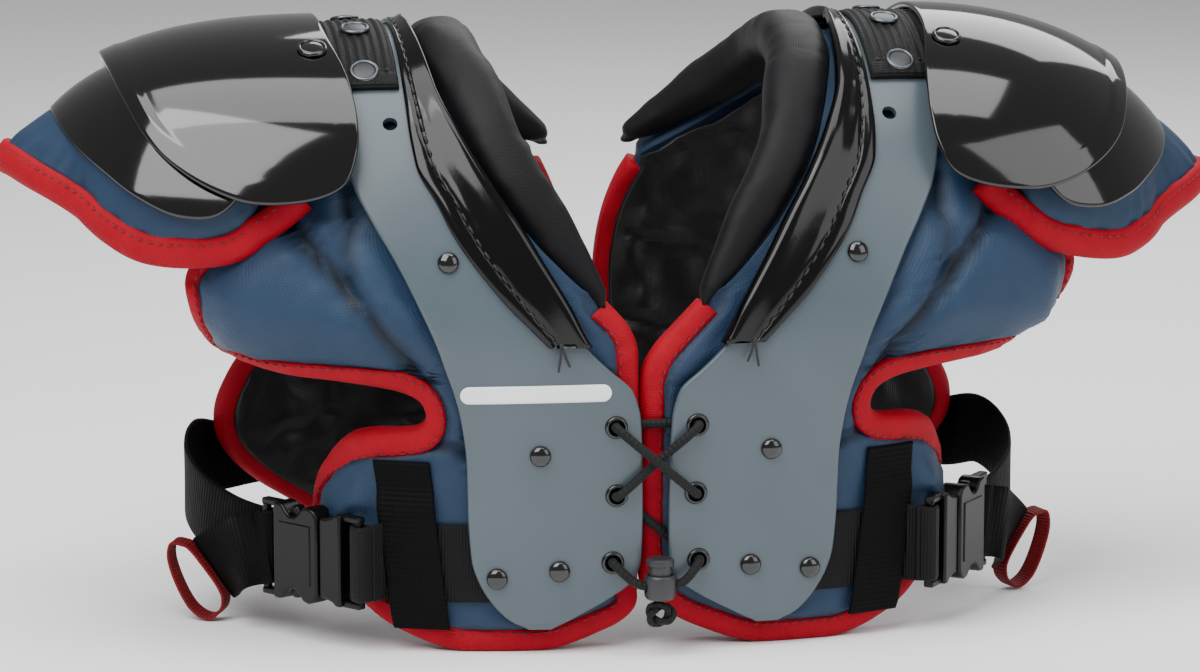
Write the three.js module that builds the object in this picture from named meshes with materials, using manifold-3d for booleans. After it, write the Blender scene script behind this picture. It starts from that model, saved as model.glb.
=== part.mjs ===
// A football shoulder pad, in millimetres, standing on its four lower lobes.
// +Z is up, -Y is the chest, +X is the wearer's left. The origin is on the floor under the middle.
// Each half is drawn on the +X side, and the wearer's right half is that half mirrored.
import * as THREE from 'three';
import Module from 'manifold-3d';

const wasm = await Module();
wasm.setup();

// The body that every layer follows: an arch over the shoulder with straight legs, front and back
const crestHeight = 245;
const archDrop = 126;
const chestDepth = 98;
const legTuck = 4;
const chestReach = 141;
const shoulderReach = 205;
const reachLow = 75;
const reachHigh = 150;
const archShare = 0.6;
const slopeStart = 105;
const shoulderSlope = 0.0022;

// How far the pieces of one half spread from the middle
const padReach = 200;
const plateReach = 126;

// Walls and clearances
const gap = 0.3;
const plateWall = 3;
const webbingWall = 1.8;
const stripLip = 2.2;
const padWall = 11.6;
const liningWall = 1.5;
const bindingWidth = 9;
const bindingWall = 11.4;

// Webbing
const beltWidth = 32;
const keeperWidth = 25;
const keeperWall = 1.6;
const beltHeight = 37;
const loopWidth = 8;
const loopWall = 1.2;

// The shoulder caps
const capTop = 250;
const capStart = 120;
const capReach = 255;
const capDepth = 92;
const capDrop = 85;
const capFall = 88;
const epauletWall = 2.6;
const cupWall = 2.6;
const cupStep = 6.2;
const capPadWall = 10.5;
const capPadStep = 15.8;
const capPadReach = 262;
const capPadFlare = 16;
const flareStart = 233;
const capBindingWall = 8.6;

// Fasteners
const plateRivetRadius = 4.3;
const plateRivetHeight = 2.6;
const snapRadius = 6;
const snapHeight = 1.4;
const eyeletHole = 7.4;
const accessoryHole = 6;
const laceDiameter = 3.7;
const laceSteps = 42;

// The cord lock
const lockRadius = 6.4;
const lockHeight = 10;
const lockBore = 4.9;
const lockFloor = 1.6;
const plungerRadius = 4.5;
const buttonRadius = 5.6;
const buttonHeight = 3;
const lockTravel = 3.5;
const lockBase = 23.5;

// The side-release buckle, drawn lying along its own strap
const buckleHeight = 40;
const buckleWall = 10;
const socketLength = 25;
const plugLength = 12;
const barSize = 3;
const ladderWindow = 8;

// Lifts from the plate's outer face, outwards positive
const beltTop = -plateWall - 2 * gap;
const padTop = beltTop - webbingWall - gap;
const padBottom = padTop - padWall;
const liningTop = padBottom - 6 * gap;
const bindingTop = padTop - 0.8;

// The two halves differ in how their front edges lap and in how far their caps hang
const halves = [
  { side: 'right', mirror: -1, frontLap: 6, backLap: -4, capHang: 0 },
  { side: 'left', mirror: 1, frontLap: -5, backLap: 6, capHang: 21 },
];

const black = { color: 0x0b0b0d, roughness: 0.12, metalness: 0 };
const webbing = { color: 0x141416, roughness: 0.85, metalness: 0 };
const finishes = {
  arch: { color: 0x77838a, roughness: 0.42, metalness: 0 },
  epaulet: black,
  cup: black,
  capPad: { color: 0x33526e, roughness: 0.75, metalness: 0 },
  bodyPad: { color: 0x33526e, roughness: 0.75, metalness: 0 },
  binding: { color: 0xc4202f, roughness: 0.8, metalness: 0 },
  lining: { color: 0x15151c, roughness: 0.55, metalness: 0 },
  collarRoll: { color: 0x3a373b, roughness: 0.7, metalness: 0 },
  neckStrip: { color: 0x0e0e10, roughness: 0.2, metalness: 0 },
  strap: webbing,
  buckle: { color: 0x17171a, roughness: 0.35, metalness: 0 },
  pullLoop: { color: 0x8f1d22, roughness: 0.8, metalness: 0 },
  lace: { color: 0x2a2a2c, roughness: 0.85, metalness: 0 },
  rivet: { color: 0x0c0c0e, roughness: 0.15, metalness: 0.6 },
  snap: { color: 0x4d555c, roughness: 0.3, metalness: 0.8 },
  button: { color: 0x46474c, roughness: 0.5, metalness: 0 },
};

// Outlines: run goes from 0 at the shoulder's crest to 1 at the floor, across is a share of padReach

const padOuterFront = [
  { run: 0, across: 0.645 },
  { run: 0.14, across: 0.65 },
  { run: 0.25, across: 0.655 },
  { run: 0.32, across: 0.68 },
  { run: 0.37, across: 0.79 },
  { run: 0.41, across: 0.9 },
  { run: 0.445, across: 0.945 },
  { run: 0.5, across: 0.94 },
  { run: 0.555, across: 0.905 },
  { run: 0.6, across: 0.84 },
  { run: 0.625, across: 0.755 },
  { run: 0.634, across: 0.66 },
  { run: 0.64, across: 0.575 },
  { run: 0.6465, across: 0.515 },
  { run: 0.657, across: 0.481 },
  { run: 0.671, across: 0.468 },
  { run: 0.686, across: 0.467 },
  { run: 0.698, across: 0.485 },
  { run: 0.705, across: 0.525 },
  { run: 0.71, across: 0.58 },
  { run: 0.72, across: 0.635 },
  { run: 0.743, across: 0.67 },
  { run: 0.78, across: 0.6875 },
  { run: 0.83, across: 0.69 },
  { run: 0.88, across: 0.672 },
  { run: 0.93, across: 0.615 },
  { run: 0.96, across: 0.56 },
  { run: 0.982, across: 0.49 },
  { run: 0.995, across: 0.43 },
  { run: 1, across: 0.385 },
];

const padOuterBack = [
  { run: 0, across: 0.645 },
  { run: 0.14, across: 0.65 },
  { run: 0.25, across: 0.655 },
  { run: 0.32, across: 0.67 },
  { run: 0.38, across: 0.77 },
  { run: 0.43, across: 0.83 },
  { run: 0.5, across: 0.81 },
  { run: 0.56, across: 0.75 },
  { run: 0.6, across: 0.72 },
  { run: 0.64, across: 0.735 },
  { run: 0.68, across: 0.785 },
  { run: 0.725, across: 0.82 },
  { run: 0.77, across: 0.82 },
  { run: 0.815, across: 0.785 },
  { run: 0.855, across: 0.725 },
  { run: 0.885, across: 0.66 },
  { run: 0.915, across: 0.59 },
  { run: 0.945, across: 0.53 },
  { run: 0.972, across: 0.47 },
  { run: 0.992, across: 0.41 },
  { run: 1, across: 0.36 },
];

// From the floor up to where the collar roll starts
const padInnerEdge = [
  { run: 1, across: 0.23 },
  { run: 0.994, across: 0.18 },
  { run: 0.98, across: 0.12 },
  { run: 0.962, across: 0.06 },
  { run: 0.942, across: 0.022 },
  { run: 0.915, across: 0.004 },
  { run: 0.86, across: 0 },
  { run: 0.75, across: 0 },
  { run: 0.66, across: 0 },
  { run: 0.615, across: 0.004 },
  { run: 0.585, across: 0.018 },
  { run: 0.56, across: 0.044 },
  { run: 0.538, across: 0.074 },
  { run: 0.524, across: 0.095 },
];

// Where the lap of the two halves acts on that inner edge
const lapFrom = [0.54, 0.63];
const lapTo = [0.9, 0.97];

const rollFront = [
  { run: 0, inner: 0.3, outer: 0.43 },
  { run: 0.1, inner: 0.295, outer: 0.425 },
  { run: 0.2, inner: 0.268, outer: 0.4 },
  { run: 0.28, inner: 0.25, outer: 0.37 },
  { run: 0.344, inner: 0.212, outer: 0.335 },
  { run: 0.4, inner: 0.167, outer: 0.285 },
  { run: 0.45, inner: 0.134, outer: 0.23 },
  { run: 0.49, inner: 0.108, outer: 0.172 },
  { run: 0.512, inner: 0.095, outer: 0.135 },
];
const rollBack = [
  { run: 0, inner: 0.3, outer: 0.43 },
  { run: 0.12, inner: 0.29, outer: 0.42 },
  { run: 0.19, inner: 0.255, outer: 0.385 },
  { run: 0.25, inner: 0.2, outer: 0.325 },
  { run: 0.305, inner: 0.14, outer: 0.255 },
  { run: 0.345, inner: 0.09, outer: 0.185 },
  { run: 0.375, inner: 0.06, outer: 0.125 },
];
const backRise = 0.135;

const stripFront = [
  { run: 0, outer: 0.475 },
  { run: 0.11, outer: 0.476 },
  { run: 0.2, outer: 0.477 },
  { run: 0.28, outer: 0.476 },
  { run: 0.344, outer: 0.468 },
  { run: 0.4, outer: 0.43 },
  { run: 0.44, outer: 0.402 },
  { run: 0.515, outer: 0.318 },
  { run: 0.578, outer: 0.22 },
];
const stripBack = [
  { run: 0, outer: 0.475 },
  { run: 0.12, outer: 0.476 },
  { run: 0.2, outer: 0.47 },
  { run: 0.26, outer: 0.43 },
  { run: 0.31, outer: 0.38 },
  { run: 0.35, outer: 0.32 },
  { run: 0.4, outer: 0.25 },
];

// The plate's outline, in shares of plateReach
const plateFront = [
  { run: 0, inner: 0.72, outer: 1 },
  { run: 0.22, inner: 0.67, outer: 0.99 },
  { run: 0.3, inner: 0.61, outer: 0.975 },
  { run: 0.376, inner: 0.52, outer: 0.937 },
  { run: 0.42, inner: 0.455, outer: 0.89 },
  { run: 0.47, inner: 0.385, outer: 0.824 },
  { run: 0.53, inner: 0.295, outer: 0.752 },
  { run: 0.576, inner: 0.232, outer: 0.7 },
  { run: 0.61, inner: 0.15, outer: 0.67 },
  { run: 0.64, inner: 0.075, outer: 0.645 },
  { run: 0.68, inner: 0.05, outer: 0.622 },
  { run: 0.742, inner: 0.044, outer: 0.604 },
  { run: 0.81, inner: 0.042, outer: 0.6 },
  { run: 0.87, inner: 0.045, outer: 0.588 },
  { run: 0.9, inner: 0.07, outer: 0.565 },
  { run: 0.925, inner: 0.15, outer: 0.53 },
  { run: 0.95, inner: 0.26, outer: 0.475 },
  { run: 0.965, inner: 0.33, outer: 0.41 },
];
const plateBack = [
  { run: 0, inner: 0.72, outer: 1 },
  { run: 0.2, inner: 0.64, outer: 0.99 },
  { run: 0.26, inner: 0.54, outer: 0.985 },
  { run: 0.31, inner: 0.435, outer: 0.975 },
  { run: 0.36, inner: 0.33, outer: 0.945 },
  { run: 0.41, inner: 0.225, outer: 0.9 },
  { run: 0.45, inner: 0.13, outer: 0.85 },
  { run: 0.52, inner: 0.09, outer: 0.765 },
  { run: 0.6, inner: 0.085, outer: 0.68 },
  { run: 0.7, inner: 0.085, outer: 0.62 },
  { run: 0.8, inner: 0.085, outer: 0.6 },
  { run: 0.87, inner: 0.085, outer: 0.588 },
  { run: 0.925, inner: 0.15, outer: 0.53 },
  { run: 0.95, inner: 0.26, outer: 0.475 },
  { run: 0.965, inner: 0.33, outer: 0.41 },
];

// Outlines on the caps: along is a share of capReach, turn is in degrees from the crest
const epauletEdge = [
  { along: 0.486, turn: 0 },
  { along: 0.482, turn: 20 },
  { along: 0.462, turn: 40 },
  { along: 0.456, turn: 54 },
  { along: 0.463, turn: 64 },
  { along: 0.487, turn: 72 },
  { along: 0.525, turn: 75 },
  { along: 0.575, turn: 76 },
  { along: 0.63, turn: 75 },
  { along: 0.68, turn: 71 },
  { along: 0.73, turn: 64 },
  { along: 0.78, turn: 52 },
  { along: 0.813, turn: 34 },
  { along: 0.828, turn: 17 },
  { along: 0.833, turn: 0 },
];
const cupEdge = [
  { along: 0.64, turn: 0 },
  { along: 0.63, turn: 34 },
  { along: 0.63, turn: 60 },
  { along: 0.65, turn: 72 },
  { along: 0.69, turn: 77 },
  { along: 0.745, turn: 75 },
  { along: 0.81, turn: 66 },
  { along: 0.86, turn: 54 },
  { along: 0.9, turn: 40 },
  { along: 0.925, turn: 22 },
  { along: 0.932, turn: 0 },
];
const capPadEdge = [
  { along: 0.6, turn: 0 },
  { along: 0.6, turn: 30 },
  { along: 0.604, turn: 56 },
  { along: 0.614, turn: 72 },
  { along: 0.628, turn: 79 },
  { along: 0.65, turn: 83 },
  { along: 0.68, turn: 85 },
  { along: 0.74, turn: 84 },
  { along: 0.81, turn: 79 },
  { along: 0.87, turn: 69 },
  { along: 0.92, turn: 55 },
  { along: 0.96, turn: 36 },
  { along: 0.98, turn: 18 },
  { along: 0.988, turn: 0 },
];

const plateRivets = [
  { name: 'upper', across: 0.659, run: 0.472 },
  { name: 'middle', across: 0.373, run: 0.724 },
  { name: 'outer', across: 0.508, run: 0.893 },
  { name: 'inner', across: 0.31, run: 0.884 },
];
const webSnaps = [
  { name: 'front_low', run: 0.19 },
  { name: 'front_top', run: 0.066 },
  { name: 'back_top', run: -0.066 },
  { name: 'back_low', run: -0.19 },
];
const snapAcross = 0.873;
const eyelets = [
  { across: 0.131, run: 0.687 },
  { across: 0.128, run: 0.781 },
  { across: 0.139, run: 0.874 },
];
const accessoryPlace = { across: 0.81, run: 0.28 };
const webSpan = 0.22;
const webEdges = { inner: 0.768, outer: 1.075 };
const epauletRivet = { along: 0.512, turn: 27 };

const lerp = THREE.MathUtils.lerp;
const smooth = THREE.MathUtils.smoothstep;
const clamp = THREE.MathUtils.clamp;

// A column of a table at a place between its rows, without overshoot
function follow(table, column, at, key = 'run') {
  const rows = table[0][key] <= table[table.length - 1][key] ? table : [...table].reverse();
  let i = 0;
  while (i < rows.length - 2 && at > rows[i + 1][key]) i += 1;
  const span = (j) => rows[j + 1][key] - rows[j][key];
  const rise = (j) => (rows[j + 1][column] - rows[j][column]) / span(j);
  const slope = (j) => {
    if (j === 0) return rise(0);
    if (j === rows.length - 1) return rise(j - 1);
    const before = rise(j - 1);
    const after = rise(j);
    return before * after <= 0 ? 0 : (2 * before * after) / (before + after);
  };
  const t = clamp((at - rows[i][key]) / span(i), 0, 1);
  const a = 2 * t ** 3 - 3 * t ** 2 + 1;
  const b = t ** 3 - 2 * t ** 2 + t;
  const c = -2 * t ** 3 + 3 * t ** 2;
  const d = t ** 3 - t ** 2;
  return a * rows[i][column] + b * span(i) * slope(i) + c * rows[i + 1][column] + d * span(i) * slope(i + 1);
}

// A point of the plate's outer face: x across, run from -1 at the back's foot to 1 at the chest's foot
function skin(x, run) {
  const share = Math.abs(run);
  const crest = crestHeight - shoulderSlope * Math.max(0, Math.abs(x) - slopeStart) ** 2;
  const leg = crest - archDrop;
  const turn = (Math.min(share / archShare, 1) * Math.PI) / 2;
  const fall = Math.max(0, (share - archShare) / (1 - archShare));
  const z = (leg + archDrop * Math.cos(turn)) * (1 - fall);
  const wide = run > 0 ? lerp(chestReach, shoulderReach, smooth(z, reachLow, reachHigh)) : shoulderReach;
  const inside = Math.max(0.02, 1 - (Math.abs(x) / wide) ** 3);
  const depth = (chestDepth - legTuck * smooth(fall, 0, 1)) * Math.sin(turn) * Math.cbrt(inside);
  return new THREE.Vector3(x, -Math.sign(run) * depth, z);
}

function skinNormal(x, run) {
  const alongX = skin(x + 0.5, run).sub(skin(x - 0.5, run));
  const ahead = Math.abs(run) > 0.995 ? 0 : 0.004;
  const normal = skin(x, run + ahead).sub(skin(x, run - 0.004)).cross(alongX);
  if (ahead === 0) normal.z = 0;
  return normal.normalize();
}

function bodyPoint(x, run, lift) {
  return skin(x, run).addScaledVector(skinNormal(x, run), lift);
}

// The run of a height on the straight part of a leg
function runAt(height) {
  return 1 - (height / (crestHeight - archDrop)) * (1 - archShare);
}

// A point of a shoulder cap's outer face
function capSkin(x, turn, size) {
  const t = clamp((x - capStart) / (size.reach - capStart), 0, 0.9995);
  const fall = capFall * (1 - (1 - t ** 2.6) ** (1 / 2.6));
  const depth = size.depth * (1 - t ** 2.4) ** (1 / 2.4);
  const hang = size.hang * Math.max(0, (x - capStart) / (capReach - capStart)) ** 2;
  const z = size.top - fall - hang - capDrop * (1 - Math.cos(turn));
  return new THREE.Vector3(x, -depth * Math.sin(turn), z);
}

function capPoint(x, turn, lift, size) {
  const alongX = capSkin(x + 0.4, turn, size).sub(capSkin(x - 0.4, turn, size));
  const alongTurn = capSkin(x, turn + 0.01, size).sub(capSkin(x, turn - 0.01, size));
  const point = capSkin(x, turn, size).addScaledVector(alongTurn.cross(alongX).normalize(), lift);
  point.x += size.flare * smooth(x, flareStart, capReach);
  return point;
}

// A closed solid through rings of equal count; each end is closed by pairing its first and last points
function loft(rings, closed = false) {
  const count = rings[0].length;
  const positions = rings.flat().flatMap((p) => [p.x, p.y, p.z]);
  const faces = [];
  const quad = (a, b, c, d) => faces.push(a, b, c, a, c, d);
  const last = closed ? rings.length : rings.length - 1;
  for (let r = 0; r < last; r += 1) {
    const next = (r + 1) % rings.length;
    for (let i = 0; i < count; i += 1) {
      const j = (i + 1) % count;
      quad(r * count + i, r * count + j, next * count + j, next * count + i);
    }
  }
  if (!closed) {
    const end = (rings.length - 1) * count;
    for (let i = 0; i < count / 2 - 1; i += 1) {
      const far = count - 1 - i;
      quad(i, far, far - 1, i + 1);
      quad(end + i, end + i + 1, end + far - 1, end + far);
    }
  }
  const geometry = new THREE.BufferGeometry();
  geometry.setAttribute('position', new THREE.Float32BufferAttribute(positions, 3));
  geometry.setIndex(faces);
  return facingOut(geometry);
}

function facingOut(geometry) {
  const at = geometry.attributes.position;
  const index = geometry.index.array;
  const corners = [new THREE.Vector3(), new THREE.Vector3(), new THREE.Vector3()];
  let volume = 0;
  for (let i = 0; i < index.length; i += 3) {
    corners.forEach((c, k) => c.fromBufferAttribute(at, index[i + k]));
    volume += corners[0].dot(corners[1].clone().cross(corners[2]));
  }
  if (volume < 0) {
    for (let i = 0; i < index.length; i += 3) [index[i + 1], index[i + 2]] = [index[i + 2], index[i + 1]];
  }
  return geometry;
}

function solidOf(geometry) {
  const vertProperties = new Float32Array(geometry.attributes.position.array);
  const triVerts = new Uint32Array(geometry.index.array);
  return new wasm.Manifold(new wasm.Mesh({ numProp: 3, vertProperties, triVerts }));
}

function geometryOf(solid) {
  const mesh = solid.getMesh();
  const geometry = new THREE.BufferGeometry();
  geometry.setAttribute('position', new THREE.BufferAttribute(mesh.vertProperties, 3));
  geometry.setIndex(new THREE.BufferAttribute(mesh.triVerts, 1));
  return geometry;
}

function cutBy(geometry, tools) {
  return geometryOf(tools.reduce((solid, tool) => solid.subtract(solidOf(tool)), solidOf(geometry)));
}

function joined(geometries) {
  return geometryOf(geometries.map(solidOf).reduce((a, b) => a.add(b)));
}

// Every layer has rows at these runs, so that their facets lie over each other
const archStep = 0.075;
function rowsOf(from, to, extra = []) {
  const shared = [];
  for (let i = Math.ceil(-archShare / archStep); i <= archShare / archStep; i += 1) shared.push(i * archStep);
  const rows = [...shared.filter((run) => run > from && run < to), ...extra, from, to];
  rows.sort((a, b) => a - b);
  return rows.filter((run, i) => run >= from && run <= to && (i === 0 || run - rows[i - 1] > 0.004));
}

function steps(from, to, count) {
  return Array.from({ length: count + 1 }, (_, i) => lerp(from, to, i / count));
}

// A layer of one half: runs from the back to the chest, its edges and lifts as functions of the run
function layer(runs, columns, inner, outer, top, bottom) {
  const rings = runs.map((run) => {
    const across = columns.map((share) => lerp(inner(run), outer(run), share));
    const upper = across.map((x, i) => bodyPoint(x, run, top(run, columns[i])));
    const lower = across.map((x, i) => bodyPoint(x, run, bottom(run, columns[i])));
    return [...upper, ...lower.reverse()];
  });
  return loft(rings);
}

const frontBack = (front, back, column, size) => (run) =>
  size * follow(run >= 0 ? front : back, column, Math.abs(run));

// The edge tape's path round one half, from the collar at the chest to the collar at the back
function edgePath(half) {
  const lap = (run, shift) => shift * smooth(run, ...lapFrom) * (1 - smooth(run, ...lapTo));
  const inner = (table, shift, sign, rise) =>
    table.map(({ run, across }) => {
      const lifted = run > lapFrom[1] ? run : run - rise * (1 - smooth(run, 0.5, lapFrom[1]));
      return new THREE.Vector2(across * padReach + lap(run, shift), sign * lifted);
    });
  const outer = (table, sign) =>
    table.map(({ run, across }) => new THREE.Vector2(across * padReach, sign * run));
  const chest = [...inner(padInnerEdge, half.frontLap, 1, 0)].reverse();
  const front = outer(padOuterFront, 1).reverse();
  const back = outer(padOuterBack, -1).slice(1);
  const spine = inner(padInnerEdge, half.backLap, -1, backRise);
  return [...chest, ...front, ...back, ...spine];
}

// Millimetres of skin from run 0 to run 1
const stretch = 296;
const edgeTolerance = 1.9;

// The indexes of the points that a polyline needs to stay within a tolerance of the full one
function neededPoints(points, from, to, tolerance) {
  const chord = new THREE.Line3(points[from], points[to]);
  const near = new THREE.Vector3();
  let far = { index: -1, distance: tolerance };
  for (let i = from + 1; i < to; i += 1) {
    const distance = chord.closestPointToPoint(points[i], true, near).distanceTo(points[i]);
    if (distance > far.distance) far = { index: i, distance };
  }
  if (far.index < 0) return [from];
  const before = neededPoints(points, from, far.index, tolerance);
  return [...before, ...neededPoints(points, far.index, to, tolerance)];
}

// Places along that path, closer together where it bends, each with the way into the pad
function edgeStations(half) {
  const knots = edgePath(half).map((p) => new THREE.Vector3(p.x, p.y * stretch, 0));
  const curve = new THREE.CatmullRomCurve3(knots, false, 'centripetal');
  const count = 260;
  const all = curve.getSpacedPoints(count).map((p) => ({ x: p.x, run: clamp(p.y / stretch, -1, 1) }));
  const points = all.map((p) => skin(p.x, p.run));
  // Both ends of the flat foot of each lobe are always kept
  const runs = all.map((place) => place.run);
  const feet = [runs.indexOf(1), runs.lastIndexOf(1), runs.indexOf(-1), runs.lastIndexOf(-1)];
  const fixed = [0, ...feet, count];
  const kept = fixed.slice(1).flatMap((to, i) => neededPoints(points, fixed[i], to, edgeTolerance));
  kept.push(count);
  return kept.map((i) => {
    const place = all[i];
    const along = points[Math.min(i + 2, count)].clone().sub(points[Math.max(i - 2, 0)]).normalize();
    const inward = skinNormal(place.x, place.run).cross(along).normalize();
    const byX = skin(place.x + 0.5, place.run).sub(skin(place.x - 0.5, place.run));
    const step = 0.002;
    const ahead = place.run + step > 1 ? 0 : step;
    const behind = place.run - step < -1 ? 0 : step;
    const byRun = skin(place.x, place.run + ahead).sub(skin(place.x, place.run - behind));
    byRun.divideScalar(ahead + behind);
    const [a, b, c] = [byX.dot(byX), byX.dot(byRun), byRun.dot(byRun)];
    const [p, q] = [byX.dot(inward), byRun.dot(inward)];
    const size = a * c - b * b;
    return { ...place, perX: (p * c - q * b) / size, perRun: (q * a - p * b) / size };
  });
}

function insetPlace(station, width) {
  return { x: station.x + station.perX * width, run: clamp(station.run + station.perRun * width, -1, 1) };
}

// The inset edge of a stretch of the tape as a function of the run
function insetEdge(stations, width) {
  const rows = stations.map((station) => insetPlace(station, width)).sort((m, n) => m.run - n.run);
  const kept = rows.filter((row, i) => i === 0 || row.run - rows[i - 1].run > 1e-4);
  return (run) => {
    const at = clamp(run, kept[0].run, kept[kept.length - 1].run);
    let i = 0;
    while (i < kept.length - 2 && at > kept[i + 1].run) i += 1;
    return lerp(kept[i].x, kept[i + 1].x, (at - kept[i].run) / (kept[i + 1].run - kept[i].run));
  };
}

function bindingSection(width, wall, grow) {
  const top = bindingTop + grow;
  const bottom = bindingTop - wall - grow;
  const nose = wall * 0.22;
  return [
    [-grow, top - nose],
    [width + grow, top],
    [width + grow, bottom],
    [-grow, bottom + nose],
  ];
}

function binding(stations, grow = 0) {
  const section = bindingSection(bindingWidth, bindingWall, grow);
  return loft(
    stations.map((station) =>
      section.map(([width, lift]) => {
        const place = insetPlace(station, width);
        return bodyPoint(place.x, place.run, lift);
      }),
    ),
  );
}

const collarEnd = { front: rollFront[rollFront.length - 1].run, back: rollBack[rollBack.length - 1].run };

// The pad's edges, a few millimetres inside the tape, and beside the collar roll where that takes over
function padEdges(stations, inset) {
  const runs = stations.map((station) => station.run);
  const chestFoot = runs.lastIndexOf(Math.max(...runs));
  const spineFoot = runs.lastIndexOf(Math.min(...runs));
  const outer = insetEdge(stations.slice(chestFoot, spineFoot + 1), inset);
  const chest = insetEdge(stations.slice(0, chestFoot + 1), inset);
  const spine = insetEdge(stations.slice(spineFoot), inset);
  const roll = frontBack(rollFront, rollBack, 'outer', padReach);
  const inner = (run) => {
    if (run > collarEnd.front) return chest(run);
    if (run < -collarEnd.back) return spine(run);
    return roll(run) + 2 * gap;
  };
  return { inner, outer };
}

const legRows = [0.63, 0.65, 0.69, 0.71, 0.78, 0.88, 0.94];
const spineRows = [0.68, 0.77, 0.88, 0.94];

function padRuns(inset) {
  const foot = 1 - inset / stretch;
  return rowsOf(-foot, foot, [...legRows, ...spineRows.map((run) => -run)]);
}

const padColumns = [0, 0.1, 0.45, 0.8, 1];
const liningColumns = [0, 0.1, 0.45, 0.8];

function bodyPad(stations) {
  const inset = bindingWidth + 3 * gap;
  const { inner, outer } = padEdges(stations, inset);
  const ease = (share) => 1.6 * (1 - Math.min(1, Math.min(share, 1 - share) / padColumns[1]));
  const top = (run, share) => padTop - ease(share);
  const bottom = (run, share) => padBottom + ease(share);
  return layer(padRuns(inset), padColumns, inner, outer, top, bottom);
}

function lining(stations) {
  const inset = bindingWidth + 3 * gap;
  const { inner, outer } = padEdges(stations, inset);
  return layer(padRuns(inset), liningColumns, inner, outer, () => liningTop, () => liningTop - liningWall);
}

function plateRuns() {
  const foot = plateFront[plateFront.length - 1].run;
  const stripEnds = [stripFront[stripFront.length - 1].run, stripBack[stripBack.length - 1].run];
  const rows = [...stripEnds, 0.64, 0.72, 0.87, 0.93];
  return rowsOf(-foot, foot, rows.flatMap((run) => [run, -run]));
}

function holeAt(x, run, diameter) {
  const peg = new THREE.CylinderGeometry(diameter / 2, diameter / 2, 6 * plateWall, 6);
  return placedOn(indexed(peg), x, run, -plateWall / 2);
}

// A piece drawn about +Y, set on the body with +Y along the outward normal
function placedOn(geometry, x, run, lift) {
  const normal = skinNormal(x, run);
  const turn = new THREE.Quaternion().setFromUnitVectors(new THREE.Vector3(0, 1, 0), normal);
  return geometry.applyQuaternion(turn).translate(...bodyPoint(x, run, lift).toArray());
}

// three.js splits the vertices along seams and edges, and a solid needs them shared
function indexed(source) {
  const at = source.attributes.position;
  const found = new Map();
  const positions = [];
  const shared = Array.from({ length: at.count }, (_, i) => {
    const key = [at.getX(i), at.getY(i), at.getZ(i)].map((v) => Math.round(v * 1e4)).join();
    if (!found.has(key)) {
      found.set(key, positions.length / 3);
      positions.push(at.getX(i), at.getY(i), at.getZ(i));
    }
    return found.get(key);
  });
  const order = source.index ? [...source.index.array] : [...shared.keys()];
  const faces = [];
  for (let i = 0; i < order.length; i += 3) {
    const [a, b, c] = [shared[order[i]], shared[order[i + 1]], shared[order[i + 2]]];
    if (a !== b && b !== c && c !== a) faces.push(a, b, c);
  }
  const geometry = new THREE.BufferGeometry();
  geometry.setAttribute('position', new THREE.Float32BufferAttribute(positions, 3));
  geometry.setIndex(faces);
  return facingOut(geometry);
}

function arch() {
  const inner = frontBack(plateFront, plateBack, 'inner', plateReach);
  const outer = frontBack(plateFront, plateBack, 'outer', plateReach);
  const plate = layer(plateRuns(), [0, 0.33, 0.67, 1], inner, outer, () => 0, () => -plateWall);
  const holes = [1, -1].flatMap((sign) =>
    eyelets.map((e) => holeAt(e.across * plateReach, sign * e.run, eyeletHole)),
  );
  holes.push(holeAt(accessoryPlace.across * plateReach, accessoryPlace.run, accessoryHole));
  return cutBy(plate, holes);
}

function neckStrip() {
  const outer = frontBack(stripFront, stripBack, 'outer', padReach);
  const plateEdge = frontBack(plateFront, plateBack, 'inner', plateReach);
  const ends = [-stripBack[stripBack.length - 1].run, stripFront[stripFront.length - 1].run];
  const runs = plateRuns().filter((run) => run >= ends[0] && run <= ends[1]);
  const low = -plateWall - 0.6;
  return loft(
    runs.map((run) => {
      const start = plateEdge(run) - stripLip;
      const end = outer(run);
      const lip = stripLip - gap;
      return [
        bodyPoint(start, run, low),
        bodyPoint(start - 0.4, run, 2),
        bodyPoint(start + 2.5, run, 4.2),
        bodyPoint(lerp(start, end, 0.4), run, 3),
        bodyPoint(end, run, 1.9),
        bodyPoint(end, run, gap),
        bodyPoint(start + lip, run, gap),
        bodyPoint(start + lip, run, low),
      ];
    }),
  );
}

function collarRoll() {
  const inner = frontBack(rollFront, rollBack, 'inner', padReach);
  const outer = frontBack(rollFront, rollBack, 'outer', padReach);
  const sides = 8;
  return loft(
    rowsOf(-collarEnd.back, collarEnd.front).map((run) => {
      const share = clamp(Math.abs(run) / (run > 0 ? collarEnd.front : collarEnd.back), 0, 1);
      const thick = lerp(11, 5.5, smooth(share, 0.55, 1));
      const middle = (inner(run) + outer(run)) / 2;
      const wide = (outer(run) - inner(run)) / 2;
      return Array.from({ length: sides }, (_, i) => {
        const turn = ((i + 0.5) / sides) * 2 * Math.PI;
        const squared = (v) => Math.sign(v) * Math.abs(v) ** 0.75;
        const x = middle - wide * squared(Math.cos(turn));
        return bodyPoint(x, run, -8.5 + thick * squared(Math.sin(turn)));
      });
    }),
  );
}

function shoulderWeb() {
  const inner = () => webEdges.inner * plateReach;
  const outer = () => webEdges.outer * plateReach;
  const lift = 2 * gap;
  return layer(rowsOf(-webSpan, webSpan), [0, 0.33, 0.67, 1], inner, outer, () => lift + 2, () => lift);
}

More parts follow.
